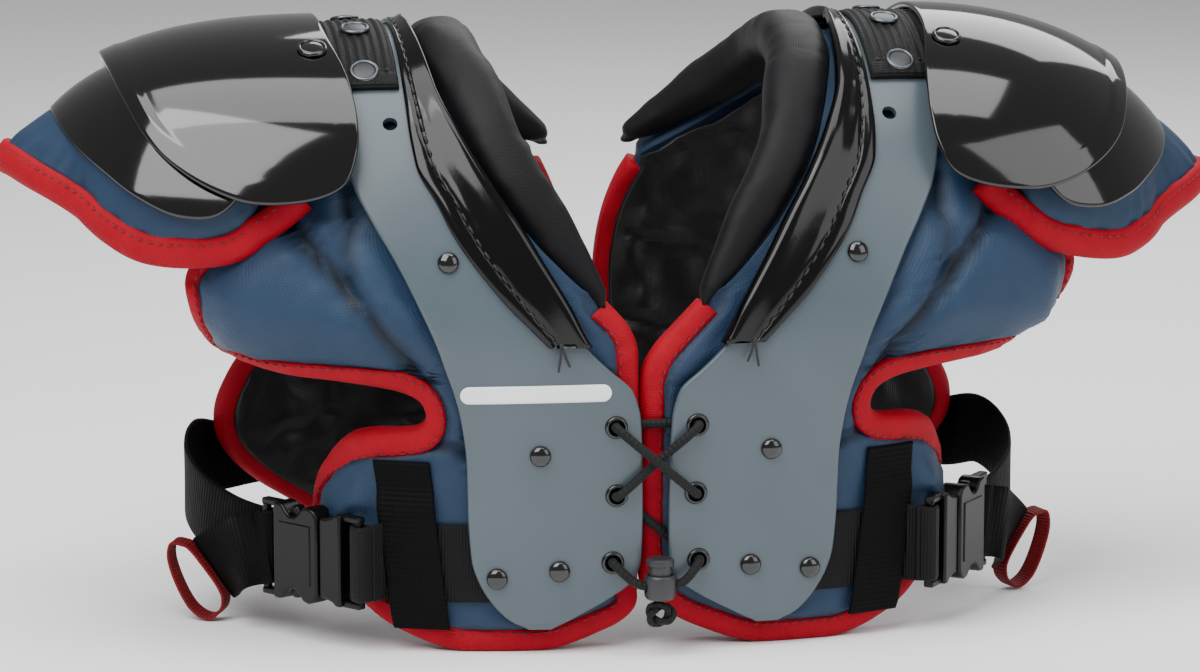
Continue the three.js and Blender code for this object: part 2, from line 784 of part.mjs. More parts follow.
// A cap piece as rings of its own outline, each a share of the way from the middle to the edge
function capLayer(edge, size, top, wall, columnCount, rowShares) {
  const last = edge[edge.length - 1];
  const middle = (edge[0].along + last.along) / 2;
  const curve = new THREE.CatmullRomCurve3(
    edge.map((row) => new THREE.Vector3(row.along, row.turn / 100, 0)),
    false,
    'centripetal',
  );
  const rim = curve.getSpacedPoints(columnCount);
  const full = [...rim.map((p) => [p.x, p.y]), ...rim.slice(1, -1).reverse().map((p) => [p.x, -p.y])];
  const place = ([along, turn], share, lift) => {
    const x = lerp(middle, along, share) * capReach;
    return capPoint(x, THREE.MathUtils.degToRad(turn * 100 * share), lift, size);
  };
  const upper = rowShares.map((share) => full.map((p) => place(p, share, top)));
  const lower = rowShares.map((share) => full.map((p) => place(p, share, top - wall)));
  return fan(upper, lower, place([middle, 0], 0, top), place([middle, 0], 0, top - wall));
}

// A dish through rings that grow from a centre point, with an upper and a lower face
function fan(upper, lower, upperCentre, lowerCentre) {
  const count = upper[0].length;
  const rings = [...upper, ...[...lower].reverse()];
  const positions = [upperCentre, ...rings.flat(), lowerCentre].flatMap((p) => [p.x, p.y, p.z]);
  const faces = [];
  const end = 1 + rings.length * count;
  for (let i = 0; i < count; i += 1) {
    const j = (i + 1) % count;
    faces.push(0, 1 + i, 1 + j);
    for (let r = 0; r < rings.length - 1; r += 1) {
      const a = 1 + r * count;
      const b = a + count;
      faces.push(a + i, b + i, b + j, a + i, b + j, a + j);
    }
    faces.push(end, end - count + j, end - count + i);
  }
  const geometry = new THREE.BufferGeometry();
  geometry.setAttribute('position', new THREE.Float32BufferAttribute(positions, 3));
  geometry.setIndex(faces);
  return facingOut(geometry);
}

const capSize = (half) => ({ reach: capReach, depth: capDepth, top: capTop, hang: half.capHang, flare: 0 });
const padSize = (half) => ({ ...capSize(half), reach: capPadReach, flare: capPadFlare });

const capRings = [0.45, 0.8, 1];

function epaulet(half) {
  return capLayer(epauletEdge, capSize(half), 0, epauletWall, 13, capRings);
}

function cup(half) {
  return capLayer(cupEdge, capSize(half), -cupStep, cupWall, 12, capRings);
}

function capStations(count) {
  const curve = new THREE.CatmullRomCurve3(
    capPadEdge.map((row) => new THREE.Vector3(row.along, row.turn / 100, 0)),
    false,
    'centripetal',
  );
  const rim = curve.getSpacedPoints(count).map((p) => [p.x * capReach, p.y * 100]);
  return [...rim, ...rim.slice(1, -1).reverse().map(([x, turn]) => [x, -turn])];
}

function capPad(half) {
  return capLayer(capPadEdge, padSize(half), -capPadStep, capPadWall, 12, [0.5, 0.87, 1]);
}

// The cap's edge tape, just outside the cap pad, from its chest corner out round the tip to its back corner
function capBinding(half) {
  const size = padSize(half);
  const rim = capStations(16);
  const corner = rim.findIndex(([, turn]) => turn > 76);
  const path = rim.slice(corner, rim.length - corner + 1);
  const place = ([x, turn], lift) => capPoint(x, THREE.MathUtils.degToRad(turn), lift, size);
  const points = path.map((spot) => place(spot, -capPadStep - capPadWall / 2));
  const centre = place([capStart + 60, 0], -capPadStep - capPadWall);
  const last = points.length - 1;
  const rings = points.map((point, i) => {
    const along = points[Math.min(i + 1, last)].clone().sub(points[Math.max(i - 1, 0)]).normalize();
    const up = place(path[i], -capPadStep).sub(point).normalize();
    const out = along.clone().cross(up).normalize();
    if (out.dot(point.clone().sub(centre)) < 0) out.negate();
    const spot = (w, h) => point.clone().addScaledVector(out, w).addScaledVector(up, h);
    const tall = capBindingWall / 2;
    const start = 2 * gap + 0.4;
    return [
      spot(start, tall * 0.85),
      spot(start + bindingWidth * 0.55, tall),
      spot(start + bindingWidth * 0.95, tall * 0.45),
      spot(start + bindingWidth * 0.95, -tall * 0.45),
      spot(start + bindingWidth * 0.55, -tall),
      spot(start, -tall * 0.85),
    ];
  });
  return loft(rings);
}

function belt() {
  const edge = beltWidth / 2;
  const xs = [50, 64, 78, 90, 102, 112, 116];
  return loft(
    xs.map((x) => {
      const rise = 3.2 * smooth(x, 112, 116);
      const high = runAt(beltHeight + edge);
      const low = runAt(beltHeight - edge);
      return [
        bodyPoint(x, high, beltTop + rise),
        bodyPoint(x, low, beltTop + rise),
        bodyPoint(x, low, beltTop - webbingWall + rise),
        bodyPoint(x, high, beltTop - webbingWall + rise),
      ];
    }),
  );
}

function keeper() {
  const edge = keeperWidth / 2;
  const top = 78;
  const foot = 10;
  const over = beltTop + 2 * gap + keeperWall;
  return loft(
    steps(0, 1, 7).map((share) => {
      const height = lerp(top, foot, share);
      const middle = lerp(102.5, 94, share);
      const run = runAt(height);
      const clear = Math.abs(height - beltHeight) - beltWidth / 2;
      const lift = over - (webbingWall + gap) * smooth(clear, 5, 16);
      const across = [-edge, 0, edge].map((x) => middle + x);
      const face = (at) => across.map((x) => bodyPoint(x, run, at));
      return [...face(lift), ...face(lift - keeperWall).reverse()];
    }),
  );
}

// The buckle's own axes: along its strap from chest to back, up, and outwards
const buckleAlong = new THREE.Vector3(0.61, 0.79, 0).normalize();
const buckleOut = new THREE.Vector3(0.79, -0.61, 0).normalize();
const buckleMiddle = new THREE.Vector3(134.5, -54.5, beltHeight);

function buckleSpot(along, up, out) {
  return buckleMiddle.clone().addScaledVector(buckleAlong, along).addScaledVector(buckleOut, out)
    .add(new THREE.Vector3(0, 0, up));
}

// A box in the buckle's axes from its lowest to its highest corner
function buckleBox(along, up, out) {
  const rings = along.map((a) => [
    buckleSpot(a, up[0], out[1]),
    buckleSpot(a, up[1], out[1]),
    buckleSpot(a, up[1], out[0]),
    buckleSpot(a, up[0], out[0]),
  ]);
  return loft(rings);
}

const socketStart = -8;
const socketEnd = socketStart + socketLength;
const ladderBar = socketEnd + ladderWindow;

function buckleSocket() {
  const tall = buckleHeight / 2;
  const deep = buckleWall / 2;
  const shell = buckleBox([socketStart, socketEnd], [-tall, tall], [-deep, deep]);
  const cavity = buckleBox([socketStart - 1, socketEnd - 4], [-tall + 4, tall - 4], [-deep + 2, deep - 2]);
  const window = buckleBox([socketStart + 7, socketStart + 17], [-tall - 1, tall + 1], [-deep + 2, deep - 2]);
  const rails = [-1, 1].map((sign) =>
    buckleBox(
      [socketEnd - 1, ladderBar + barSize / 2],
      [Math.min(sign * tall, sign * (tall - 2.6)), Math.max(sign * tall, sign * (tall - 2.6))],
      [-2, 2],
    ),
  );
  const bar = buckleBox([ladderBar - barSize / 2, ladderBar + barSize / 2], [-tall + 1, tall - 1], [-1.5, 1.5]);
  return joined([cutBy(shell, [cavity, window]), ...rails, bar]);
}

function bucklePlug() {
  const tall = buckleHeight / 2 - 1;
  const start = socketStart - gap - plugLength;
  const body = buckleBox([start, socketStart - gap], [-tall, tall], [-3.8, 3.8]);
  const guide = buckleBox([socketStart - 1, socketStart + 14], [-5, 5], [-2, 2]);
  const arms = [-1, 1].flatMap((sign) => {
    const span = (a, b) => [Math.min(sign * a, sign * b), Math.max(sign * a, sign * b)];
    return [
      buckleBox([socketStart - 1, socketStart + 15], span(10, 14), [-2, 2]),
      buckleBox([socketStart + 8, socketStart + 15], span(13, 19), [-2, 2]),
    ];
  });
  const rails = [-1, 1].map((sign) =>
    buckleBox(
      [start - 9, start + 1],
      [Math.min(sign * tall, sign * (tall - 2.4)), Math.max(sign * tall, sign * (tall - 2.4))],
      [-2, 2],
    ),
  );
  const bar = buckleBox([start - 9, start - 9 + barSize], [-tall + 1, tall - 1], [-1.5, 1.5]);
  return joined([body, guide, ...arms, ...rails, bar]);
}

// A flat band through the air: centre points with the way its width lies
function ribbon(spots, width, wall, closed = false) {
  const count = spots.length;
  const rings = spots.map(({ at, up }, i) => {
    const before = spots[closed ? (i + count - 1) % count : Math.max(i - 1, 0)].at;
    const after = spots[closed ? (i + 1) % count : Math.min(i + 1, count - 1)].at;
    const along = after.clone().sub(before).normalize();
    const wide = up.clone().addScaledVector(along, -up.dot(along)).normalize();
    const thick = along.clone().cross(wide);
    const corner = (w, t) =>
      at.clone().addScaledVector(wide, (w * width) / 2).addScaledVector(thick, (t * wall) / 2);
    return [corner(1, 1), corner(-1, 1), corner(-1, -1), corner(1, -1)];
  });
  return loft(rings, closed);
}

const upright = new THREE.Vector3(0, 0, 1);
const strapHeight = 56;
const tailEnd = new THREE.Vector3(169, -7, 22);
const tailTilt = new THREE.Vector3(0.55, 0.28, 0.75).normalize();

// The elastic side strap: from under the back plate, forward to the ladder bar, round it and out to its tail
function sideStrap() {
  const onBack = [79, 95, 112, 130, 146, 160].map((x) => ({
    at: bodyPoint(x, -runAt(strapHeight), beltTop + 2 * gap - webbingWall / 2),
    up: upright,
  }));
  const free = [
    [170, 58, 57],
    [176, 34, 51],
    [172, 8, 44],
    [162, -12, 39],
  ].map(([x, y, z]) => ({ at: new THREE.Vector3(x, y, z), up: upright }));
  const turn = 3.4;
  const round = [
    buckleSpot(ladderBar + 9, 0, -turn),
    buckleSpot(ladderBar + 1, 0, -turn),
    buckleSpot(ladderBar - 3, 0, -turn + 0.9),
    buckleSpot(ladderBar - 4.2, 0, 0),
    buckleSpot(ladderBar - 3, 0, turn - 0.9),
    buckleSpot(ladderBar + 1, -1, turn),
    buckleSpot(ladderBar + 9, -3, turn + 2.5),
  ].map((at) => ({ at, up: upright }));
  const tail = [{ at: tailEnd, up: tailTilt }];
  return ribbon([...onBack, ...free, ...round, ...tail], beltWidth - 2, webbingWall);
}

function pullLoop() {
  const down = new THREE.Vector3(0.35, 0.1, -0.93).normalize();
  const wide = tailTilt.clone();
  const across = new THREE.Vector3(-0.45, 0.85, 0.1).normalize();
  const start = tailEnd.clone().addScaledVector(buckleAlong, 3.4).addScaledVector(buckleOut, 1.4);
  const half = beltWidth / 2 - 2;
  const spots = [
    [half - 3, -0.5],
    [half, 1],
    [half + 5, 5],
    [half + 4, 10],
    [half * 0.55, 15.5],
    [-half * 0.2, 16.5],
    [-half * 0.8, 12.5],
    [-half - 1, 5],
    [-half, 1],
    [-half + 3, -0.5],
    [0, -1.2],
  ].map(([w, d]) => ({ at: start.clone().addScaledVector(wide, w).addScaledVector(down, d), up: across }));
  return ribbon(spots, loopWidth, loopWall, true);
}

// A tube along chosen points with an even number of sides
function tube(points, diameter, sides, count, closed) {
  const curve = new THREE.CatmullRomCurve3(points, closed, 'centripetal');
  const line = closed ? curve.getSpacedPoints(count).slice(0, -1) : curve.getSpacedPoints(count);
  let side = new THREE.Vector3(0, 0, 1);
  const frames = line.map((at, i) => {
    const after = line[closed ? (i + 1) % line.length : Math.min(i + 1, line.length - 1)];
    const before = line[closed ? (i + line.length - 1) % line.length : Math.max(i - 1, 0)];
    const along = after.clone().sub(before).normalize();
    side = side.clone().addScaledVector(along, -side.dot(along)).normalize();
    return { at, side, other: along.clone().cross(side) };
  });
  // The frame turns a little round a closed path, and that turn is spread over its whole length
  const start = frames[0];
  const last = frames[frames.length - 1];
  const seam = closed ? Math.atan2(start.side.dot(last.other), start.side.dot(last.side)) : 0;
  const rings = frames.map(({ at, side: s, other }, i) =>
    Array.from({ length: sides }, (_, k) => {
      const turn = ((k + 0.5) / sides) * 2 * Math.PI + (seam * i) / frames.length;
      return at.clone().addScaledVector(s, (Math.cos(turn) * diameter) / 2)
        .addScaledVector(other, (Math.sin(turn) * diameter) / 2);
    }),
  );
  return loft(rings, closed);
}

const laceOut = laceDiameter / 2 + 0.4;
const laceIn = beltTop - laceDiameter / 2 + 0.6;

// A lace's stops: through a hole from one face of the plates to the other
function laceHole(side, row, outward) {
  const eyelet = eyelets[row];
  const x = side * eyelet.across * plateReach;
  const lifts = [laceOut, -plateWall / 2, laceIn];
  const stops = lifts.map((lift) => ({ x, row, lift }));
  return outward ? stops.reverse() : stops;
}

function laceSpot(face, { x, row, lift, run }) {
  return bodyPoint(x, face * (run ?? eyelets[row].run), lift);
}

function lacePath(face, closing) {
  const middle = (a, b, lift) => ({ x: 0, run: (eyelets[a].run + eyelets[b].run) / 2, lift });
  const stops = [
    ...laceHole(1, 2, false),
    middle(2, 1, laceIn),
    ...laceHole(-1, 1, true),
    middle(1, 0, laceOut),
    ...laceHole(1, 0, false),
    { x: 0, run: eyelets[0].run, lift: laceIn },
    ...laceHole(-1, 0, true),
    middle(0, 1, laceOut + laceDiameter + gap),
    ...laceHole(1, 1, false),
    middle(1, 2, laceIn - laceDiameter - gap),
    ...laceHole(-1, 2, true),
  ];
  return [...stops.map((stop) => laceSpot(face, stop)), ...closing];
}

const lockCentre = () => {
  const front = bodyPoint(0, runAt(lockBase + lockHeight / 2), 0);
  return new THREE.Vector3(0.5, front.y - lockRadius - 1.2, lockBase);
};
const laceThroughLock = lockFloor + 3.6;

// The chest lace goes on through the cord lock, and the back lace straight across
function laceRoute(face) {
  const lock = lockCentre();
  const z = lock.z + laceThroughLock;
  const throughLock = [
    new THREE.Vector3(-9.5, lock.y + 0.8, z + 1.6),
    new THREE.Vector3(-4, lock.y, z),
    new THREE.Vector3(5, lock.y, z),
    new THREE.Vector3(10.5, lock.y + 0.8, z + 1.6),
  ];
  const across = [laceSpot(-1, { x: 0, run: eyelets[2].run + 0.01, lift: laceOut })];
  return lacePath(face, face > 0 ? throughLock : across);
}

function lace(face, grow = 0, mirror = 1) {
  const points = laceRoute(face).map((p) => new THREE.Vector3(p.x * mirror, p.y, p.z));
  return tube(points, laceDiameter + 2 * grow, 5, laceSteps, true);
}

function laceKnot() {
  const lock = lockCentre();
  const points = Array.from({ length: 16 }, (_, i) => {
    const t = (i / 16) * 2 * Math.PI;
    const reach = 3.4 + 1.1 * Math.cos(3 * t);
    return new THREE.Vector3(
      lock.x + 1.25 * reach * Math.cos(2 * t),
      lock.y + 1.6 * Math.sin(3 * t),
      lock.z - 6.3 + reach * Math.sin(2 * t),
    );
  });
  return tube(points, laceDiameter * 0.62, 5, 16, true);
}

function lathe(profile, sides) {
  return indexed(new THREE.LatheGeometry(profile.map(([r, h]) => new THREE.Vector2(r, h)), sides));
}

function peg(radius, height, sides) {
  return indexed(new THREE.CylinderGeometry(radius, radius, height, sides));
}

// Turn a piece drawn about +Y to stand about +Z at a place
function standing(geometry, place) {
  return geometry.rotateX(Math.PI / 2).translate(place.x, place.y, place.z);
}

function cordLock() {
  const outer = [
    [0, 0],
    [lockRadius - 1.2, 0],
    [lockRadius, 2],
    [lockRadius, lockHeight - 1],
    [lockRadius - 0.8, lockHeight],
    [lockBore, lockHeight],
    [lockBore, lockFloor],
    [0, lockFloor],
  ];
  const across = laceDiameter + 7 * gap;
  const hole = peg(across / 2, 4 * lockRadius, 8).rotateZ(Math.PI / 2).translate(0, laceThroughLock, 0);
  return standing(cutBy(lathe(outer, 12), [hole]), lockCentre());
}

function lockButton() {
  const stem = lockFloor + gap + lockTravel;
  const rise = lockHeight + gap + lockTravel;
  const profile = [
    [0, stem],
    [plungerRadius, stem],
    [plungerRadius, rise],
    [buttonRadius, rise],
    [buttonRadius, rise + buttonHeight - 1],
    [buttonRadius - 1.2, rise + buttonHeight],
    [0, rise + buttonHeight],
  ];
  const slot = laceDiameter + 2 * gap;
  const low = laceThroughLock - slot / 2;
  const high = laceThroughLock + slot / 2 + lockTravel;
  const windowBox = indexed(new THREE.BoxGeometry(4 * plungerRadius, high - low, slot));
  windowBox.translate(0, (low + high) / 2, 0);
  return standing(cutBy(lathe(profile, 12), [windowBox]), lockCentre());
}

function rivet(radius, height, sides = 8) {
  return lathe([[0, 0], [radius, 0], [radius * 0.8, height * 0.68], [0, height]], sides);
}

function snap() {
  const profile = [
    [0, 0],
    [snapRadius, 0],
    [snapRadius, snapHeight * 0.6],
    [snapRadius * 0.72, snapHeight],
    [0, snapHeight],
  ];
  return lathe(profile, 8);
}

function piece(name, geometry, finish) {
  const mesh = new THREE.Mesh(geometry, new THREE.MeshStandardMaterial(finishes[finish]));
  mesh.name = name;
  return mesh;
}

function halfGroup(half) {
  const group = new THREE.Group();
  const { side } = half;
  const add = (name, geometry, finish) => group.add(piece(`${name}_${side}`, geometry, finish));
  const stations = edgeStations(half);
  const laces = [lace(1, gap, half.mirror), lace(-1, gap, half.mirror)];
  const tape = cutBy(binding(stations), laces);
  add('arch', arch(), 'arch');
  add('body_pad', cutBy(bodyPad(stations), [binding(stations, gap), ...laces]), 'bodyPad');
  add('lining', lining(stations), 'lining');
  add('binding', tape, 'binding');
  add('neck_strip', neckStrip(), 'neckStrip');
  add('collar_roll', collarRoll(), 'collarRoll');
  add('shoulder_web', shoulderWeb(), 'strap');
  add('epaulet', epaulet(half), 'epaulet');
  add('cup', cup(half), 'cup');
  add('cap_pad', capPad(half), 'capPad');
  add('cap_binding', capBinding(half), 'binding');
  add('belt', belt(), 'strap');
  add('keeper', keeper(), 'strap');
  add('buckle_socket', buckleSocket(), 'buckle');
  add('buckle_plug', bucklePlug(), 'buckle');
  add('side_strap', sideStrap(), 'strap');
  add('pull_loop', pullLoop(), 'pullLoop');
  for (const spot of plateRivets) {
    const dome = placedOn(rivet(plateRivetRadius, plateRivetHeight), spot.across * plateReach, spot.run, gap);
    add(`rivet_${spot.name}`, dome, 'rivet');
  }
  for (const spot of webSnaps) {
    add(`snap_${spot.name}`, placedOn(snap(), snapAcross * plateReach, spot.run, 2 + 2 * gap), 'snap');
  }
  for (const sign of [1, -1]) {
    const size = capSize(half);
    const x = epauletRivet.along * capReach;
    const turn = THREE.MathUtils.degToRad(sign * epauletRivet.turn);
    const foot = capPoint(x, turn, gap, size);
    const normal = capPoint(x, turn, gap + 1, size).sub(foot).normalize();
    const lean = new THREE.Quaternion().setFromUnitVectors(new THREE.Vector3(0, 1, 0), normal);
    const dome = snap().applyQuaternion(lean).translate(foot.x, foot.y, foot.z);
    add(`epaulet_rivet_${sign > 0 ? 'front' : 'back'}`, dome, 'snap');
  }
  group.scale.x = half.mirror;
  return group;
}

function build() {
  const pad = new THREE.Group();
  for (const half of halves) pad.add(halfGroup(half));
  pad.add(piece('front_lace', lace(1), 'lace'));
  pad.add(piece('back_lace', lace(-1), 'lace'));
  pad.add(piece('lace_knot', laceKnot(), 'lace'));
  pad.add(piece('cord_lock', cordLock(), 'button'));
  pad.add(piece('lock_button', lockButton(), 'button'));
  return pad;
}

export default build();
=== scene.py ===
# A football shoulder pad: moulded plates and caps over taped fabric pads, laced and buckled.
import math
import bpy
import numpy as np
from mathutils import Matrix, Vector


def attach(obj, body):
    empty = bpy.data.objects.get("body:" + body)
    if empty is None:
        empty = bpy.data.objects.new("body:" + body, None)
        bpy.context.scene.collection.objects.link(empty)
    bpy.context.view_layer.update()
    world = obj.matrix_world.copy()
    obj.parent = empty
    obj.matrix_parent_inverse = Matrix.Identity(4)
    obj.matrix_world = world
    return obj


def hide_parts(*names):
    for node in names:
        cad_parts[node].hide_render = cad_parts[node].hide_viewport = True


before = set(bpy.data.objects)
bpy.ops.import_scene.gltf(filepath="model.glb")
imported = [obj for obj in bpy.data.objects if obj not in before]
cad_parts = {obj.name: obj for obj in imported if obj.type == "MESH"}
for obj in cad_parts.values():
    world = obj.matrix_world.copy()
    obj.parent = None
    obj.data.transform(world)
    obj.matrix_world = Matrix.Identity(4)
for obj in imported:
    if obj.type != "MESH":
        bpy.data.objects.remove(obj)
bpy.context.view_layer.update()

# The body that every layer follows, in millimetres, as in the part's source
body = {
    "crest": 245.0,
    "drop": 126.0,
    "chestDepth": 98.0,
    "legTuck": 4.0,
    "chestReach": 141.0,
    "shoulderReach": 205.0,
    "reachLow": 75.0,
    "reachHigh": 150.0,
    "archShare": 0.6,
    "slopeStart": 105.0,
    "slope": 0.0022,
    "padReach": 200.0,
    "plateReach": 126.0,
    "stretch": 296.0,
}
walls = {"gap": 0.3, "plate": 3.0, "webbing": 1.8, "pad": 11.6, "tape": 11.4}
beltTop = -walls["plate"] - 2 * walls["gap"]
padTop = beltTop - walls["webbing"] - walls["gap"]
padBottom = padTop - walls["pad"]
liningTop = padBottom - 6 * walls["gap"]
tapeTop = padTop - 0.8

halves = [
    {"side": "right", "mirror": -1, "frontLap": 6, "backLap": -4, "capHang": 0, "seed": 3},
    {"side": "left", "mirror": 1, "frontLap": -5, "backLap": 6, "capHang": 21, "seed": 11},
]

# Outlines: run goes from 0 at the shoulder's crest to 1 at the floor, across is a share of the reach
padOuterFront = [
    (0, 0.645), (0.14, 0.65), (0.25, 0.655), (0.32, 0.68), (0.37, 0.79), (0.41, 0.9), (0.445, 0.945),
    (0.5, 0.94), (0.555, 0.905), (0.6, 0.84), (0.625, 0.755), (0.634, 0.66), (0.64, 0.575),
    (0.6465, 0.515), (0.657, 0.481), (0.671, 0.468), (0.686, 0.467), (0.698, 0.485), (0.705, 0.525),
    (0.71, 0.58), (0.72, 0.635), (0.743, 0.67), (0.78, 0.6875), (0.83, 0.69), (0.88, 0.672),
    (0.93, 0.615), (0.96, 0.56), (0.982, 0.49), (0.995, 0.43), (1, 0.385),
]
padOuterBack = [
    (0, 0.645), (0.14, 0.65), (0.25, 0.655), (0.32, 0.67), (0.38, 0.77), (0.43, 0.83), (0.5, 0.81),
    (0.56, 0.75), (0.6, 0.72), (0.64, 0.735), (0.68, 0.785), (0.725, 0.82), (0.77, 0.82),
    (0.815, 0.785), (0.855, 0.725), (0.885, 0.66), (0.915, 0.59), (0.945, 0.53), (0.972, 0.47),
    (0.992, 0.41), (1, 0.36),
]
padInnerEdge = [
    (1, 0.23), (0.994, 0.18), (0.98, 0.12), (0.962, 0.06), (0.942, 0.022), (0.915, 0.004), (0.86, 0),
    (0.75, 0), (0.66, 0), (0.615, 0.004), (0.585, 0.018), (0.56, 0.044), (0.538, 0.074), (0.524, 0.095),
]
lapFrom = (0.54, 0.63)
lapTo = (0.9, 0.97)
backRise = 0.135
rollFront = [  # run, inner, outer
    (0, 0.3, 0.43), (0.1, 0.295, 0.425), (0.2, 0.268, 0.4), (0.28, 0.25, 0.37), (0.344, 0.212, 0.335),
    (0.4, 0.167, 0.285), (0.45, 0.134, 0.23), (0.49, 0.108, 0.172), (0.512, 0.095, 0.135),
]
rollBack = [
    (0, 0.3, 0.43), (0.12, 0.29, 0.42), (0.19, 0.255, 0.385), (0.25, 0.2, 0.325), (0.305, 0.14, 0.255),
    (0.345, 0.09, 0.185), (0.375, 0.06, 0.125),
]
stripFront = [
    (0, 0.475), (0.11, 0.476), (0.2, 0.477), (0.28, 0.476), (0.344, 0.468), (0.4, 0.43), (0.44, 0.402),
    (0.515, 0.318), (0.578, 0.22),
]
stripBack = [(0, 0.475), (0.12, 0.476), (0.2, 0.47), (0.26, 0.43), (0.31, 0.38), (0.35, 0.32), (0.4, 0.25)]
plateFront = [  # run, inner, outer
    (0, 0.72, 1), (0.22, 0.67, 0.99), (0.3, 0.61, 0.975), (0.376, 0.52, 0.937), (0.42, 0.455, 0.89),
    (0.47, 0.385, 0.824), (0.53, 0.295, 0.752), (0.576, 0.232, 0.7), (0.61, 0.15, 0.67),
    (0.64, 0.075, 0.645), (0.68, 0.05, 0.622), (0.742, 0.044, 0.604), (0.81, 0.042, 0.6),
    (0.87, 0.045, 0.588), (0.9, 0.07, 0.565), (0.925, 0.15, 0.53), (0.95, 0.26, 0.475), (0.965, 0.33, 0.41),
]
plateBack = [
    (0, 0.72, 1), (0.2, 0.64, 0.99), (0.26, 0.54, 0.985), (0.31, 0.435, 0.975), (0.36, 0.33, 0.945),
    (0.41, 0.225, 0.9), (0.45, 0.13, 0.85), (0.52, 0.09, 0.765), (0.6, 0.085, 0.68), (0.7, 0.085, 0.62),
    (0.8, 0.085, 0.6), (0.87, 0.085, 0.588), (0.925, 0.15, 0.53), (0.95, 0.26, 0.475), (0.965, 0.33, 0.41),
]


def smooth(value, low=0.0, high=1.0):
    t = np.clip((np.asarray(value, float) - low) / (high - low), 0, 1)
    return t * t * (3 - 2 * t)


def lerp(a, b, t):
    return a + (b - a) * t


def follow(table, at, column=1):  # a column of a table between its rows, without overshoot
    rows = np.array(sorted(table), float)
    knots, values = rows[:, 0], rows[:, column]
    rise = np.diff(values) / np.diff(knots)
    slope = np.concatenate([rise[:1], np.zeros(len(rise) - 1), rise[-1:]])
    same = rise[:-1] * rise[1:] > 0
    total = np.where(same, rise[:-1] + rise[1:], 1)
    slope[1:-1] = np.where(same, 2 * rise[:-1] * rise[1:] / total, 0)
    at = np.clip(at, knots[0], knots[-1])
    i = np.clip(np.searchsorted(knots, at, side="right") - 1, 0, len(knots) - 2)
    span = knots[i + 1] - knots[i]
    t = (at - knots[i]) / span
    low = (2 * t**3 - 3 * t**2 + 1) * values[i] + (t**3 - 2 * t**2 + t) * span * slope[i]
    return low + (3 * t**2 - 2 * t**3) * values[i + 1] + (t**3 - t**2) * span * slope[i + 1]


def skin(x, run):  # a point of the plates' outer face
    x, run = np.broadcast_arrays(np.asarray(x, float), np.asarray(run, float))
    share = np.abs(run)
    crest = body["crest"] - body["slope"] * np.maximum(0, np.abs(x) - body["slopeStart"]) ** 2
    turn = np.minimum(share / body["archShare"], 1) * math.pi / 2
    fall = np.maximum(0, (share - body["archShare"]) / (1 - body["archShare"]))
    z = (crest - body["drop"] + body["drop"] * np.cos(turn)) * (1 - fall)
    chest = lerp(body["chestReach"], body["shoulderReach"], smooth(z, body["reachLow"], body["reachHigh"]))
    wide = np.where(run > 0, chest, body["shoulderReach"])
    inside = np.maximum(0.02, 1 - (np.abs(x) / wide) ** 3)
    depth = (body["chestDepth"] - body["legTuck"] * smooth(fall)) * np.sin(turn) * np.cbrt(inside)
    return np.stack([x, -np.sign(run) * depth, z], -1)


def unit(v):
    return v / np.maximum(np.linalg.norm(v, axis=-1, keepdims=True), 1e-9)


def skinNormal(x, run):
    step = 0.004
    alongRun = skin(x, np.minimum(run + step, 1)) - skin(x, np.maximum(run - step, -1))
    normal = np.cross(alongRun, skin(x + 0.5, run) - skin(x - 0.5, run))
    normal[..., 2] = np.where(np.abs(run) > 0.995, 0, normal[..., 2])
    return unit(normal)


def bodyPoint(x, run, lift):
    x, run, lift = np.broadcast_arrays(np.asarray(x, float), np.asarray(run, float), np.asarray(lift, float))
    return skin(x, run) + skinNormal(x, run) * lift[..., None]


def runAt(height):
    return 1 - height / (body["crest"] - body["drop"]) * (1 - body["archShare"])


# Meshes and their helpers


def flipped(faces):
    return [face[::-1] for face in faces]


def makeMesh(name, points, faces, mirror=1, material=None, uv=None):
    mesh = bpy.data.meshes.new(name)
    points = np.asarray(points, float).reshape(-1, 3) * 0.001
    if mirror < 0:
        points = points * [-1, 1, 1]
        faces, uv = flipped(faces), (flipped(uv) if uv else None)
    mesh.from_pydata(points.tolist(), [], faces)
    if uv:
        layer = mesh.uv_layers.new(name="run")
        layer.data.foreach_set("uv", np.array([c for corners in uv for c in corners], np.float32).ravel())
    mesh.validate()
    mesh.polygons.foreach_set("use_smooth", [True] * len(mesh.polygons))
    piece = bpy.data.objects.new(name, mesh)
    bpy.context.scene.collection.objects.link(piece)
    if material:
        mesh.materials.append(material)
    return piece


def closedMesh(name, points, faces, mirror, material, uv=None):  # its faces are turned outwards
    p = np.asarray(points, float).reshape(-1, 3)
    a, b, c = np.array([(f[0], f[i], f[i + 1]) for f in faces for i in range(1, len(f) - 1)]).T
    if (p[a] * np.cross(p[b], p[c])).sum() <= 0:
        faces, uv = flipped(faces), (flipped(uv) if uv else None)
    return makeMesh(name, p, faces, mirror, material, uv)


def ringFaces(rows, count, base=0):  # the faces between rings of points
    sides = [(base + i, base + (i + 1) % count) for i in range(count)]
    starts = range(0, (rows - 1) * count, count)
    return [(r + a, r + b, r + b + count, r + a + count) for r in starts for a, b in sides]


def lengths(line):  # how far along a line each of its points is
    return np.concatenate([[0], np.cumsum(np.linalg.norm(np.diff(line, axis=0), axis=-1))])


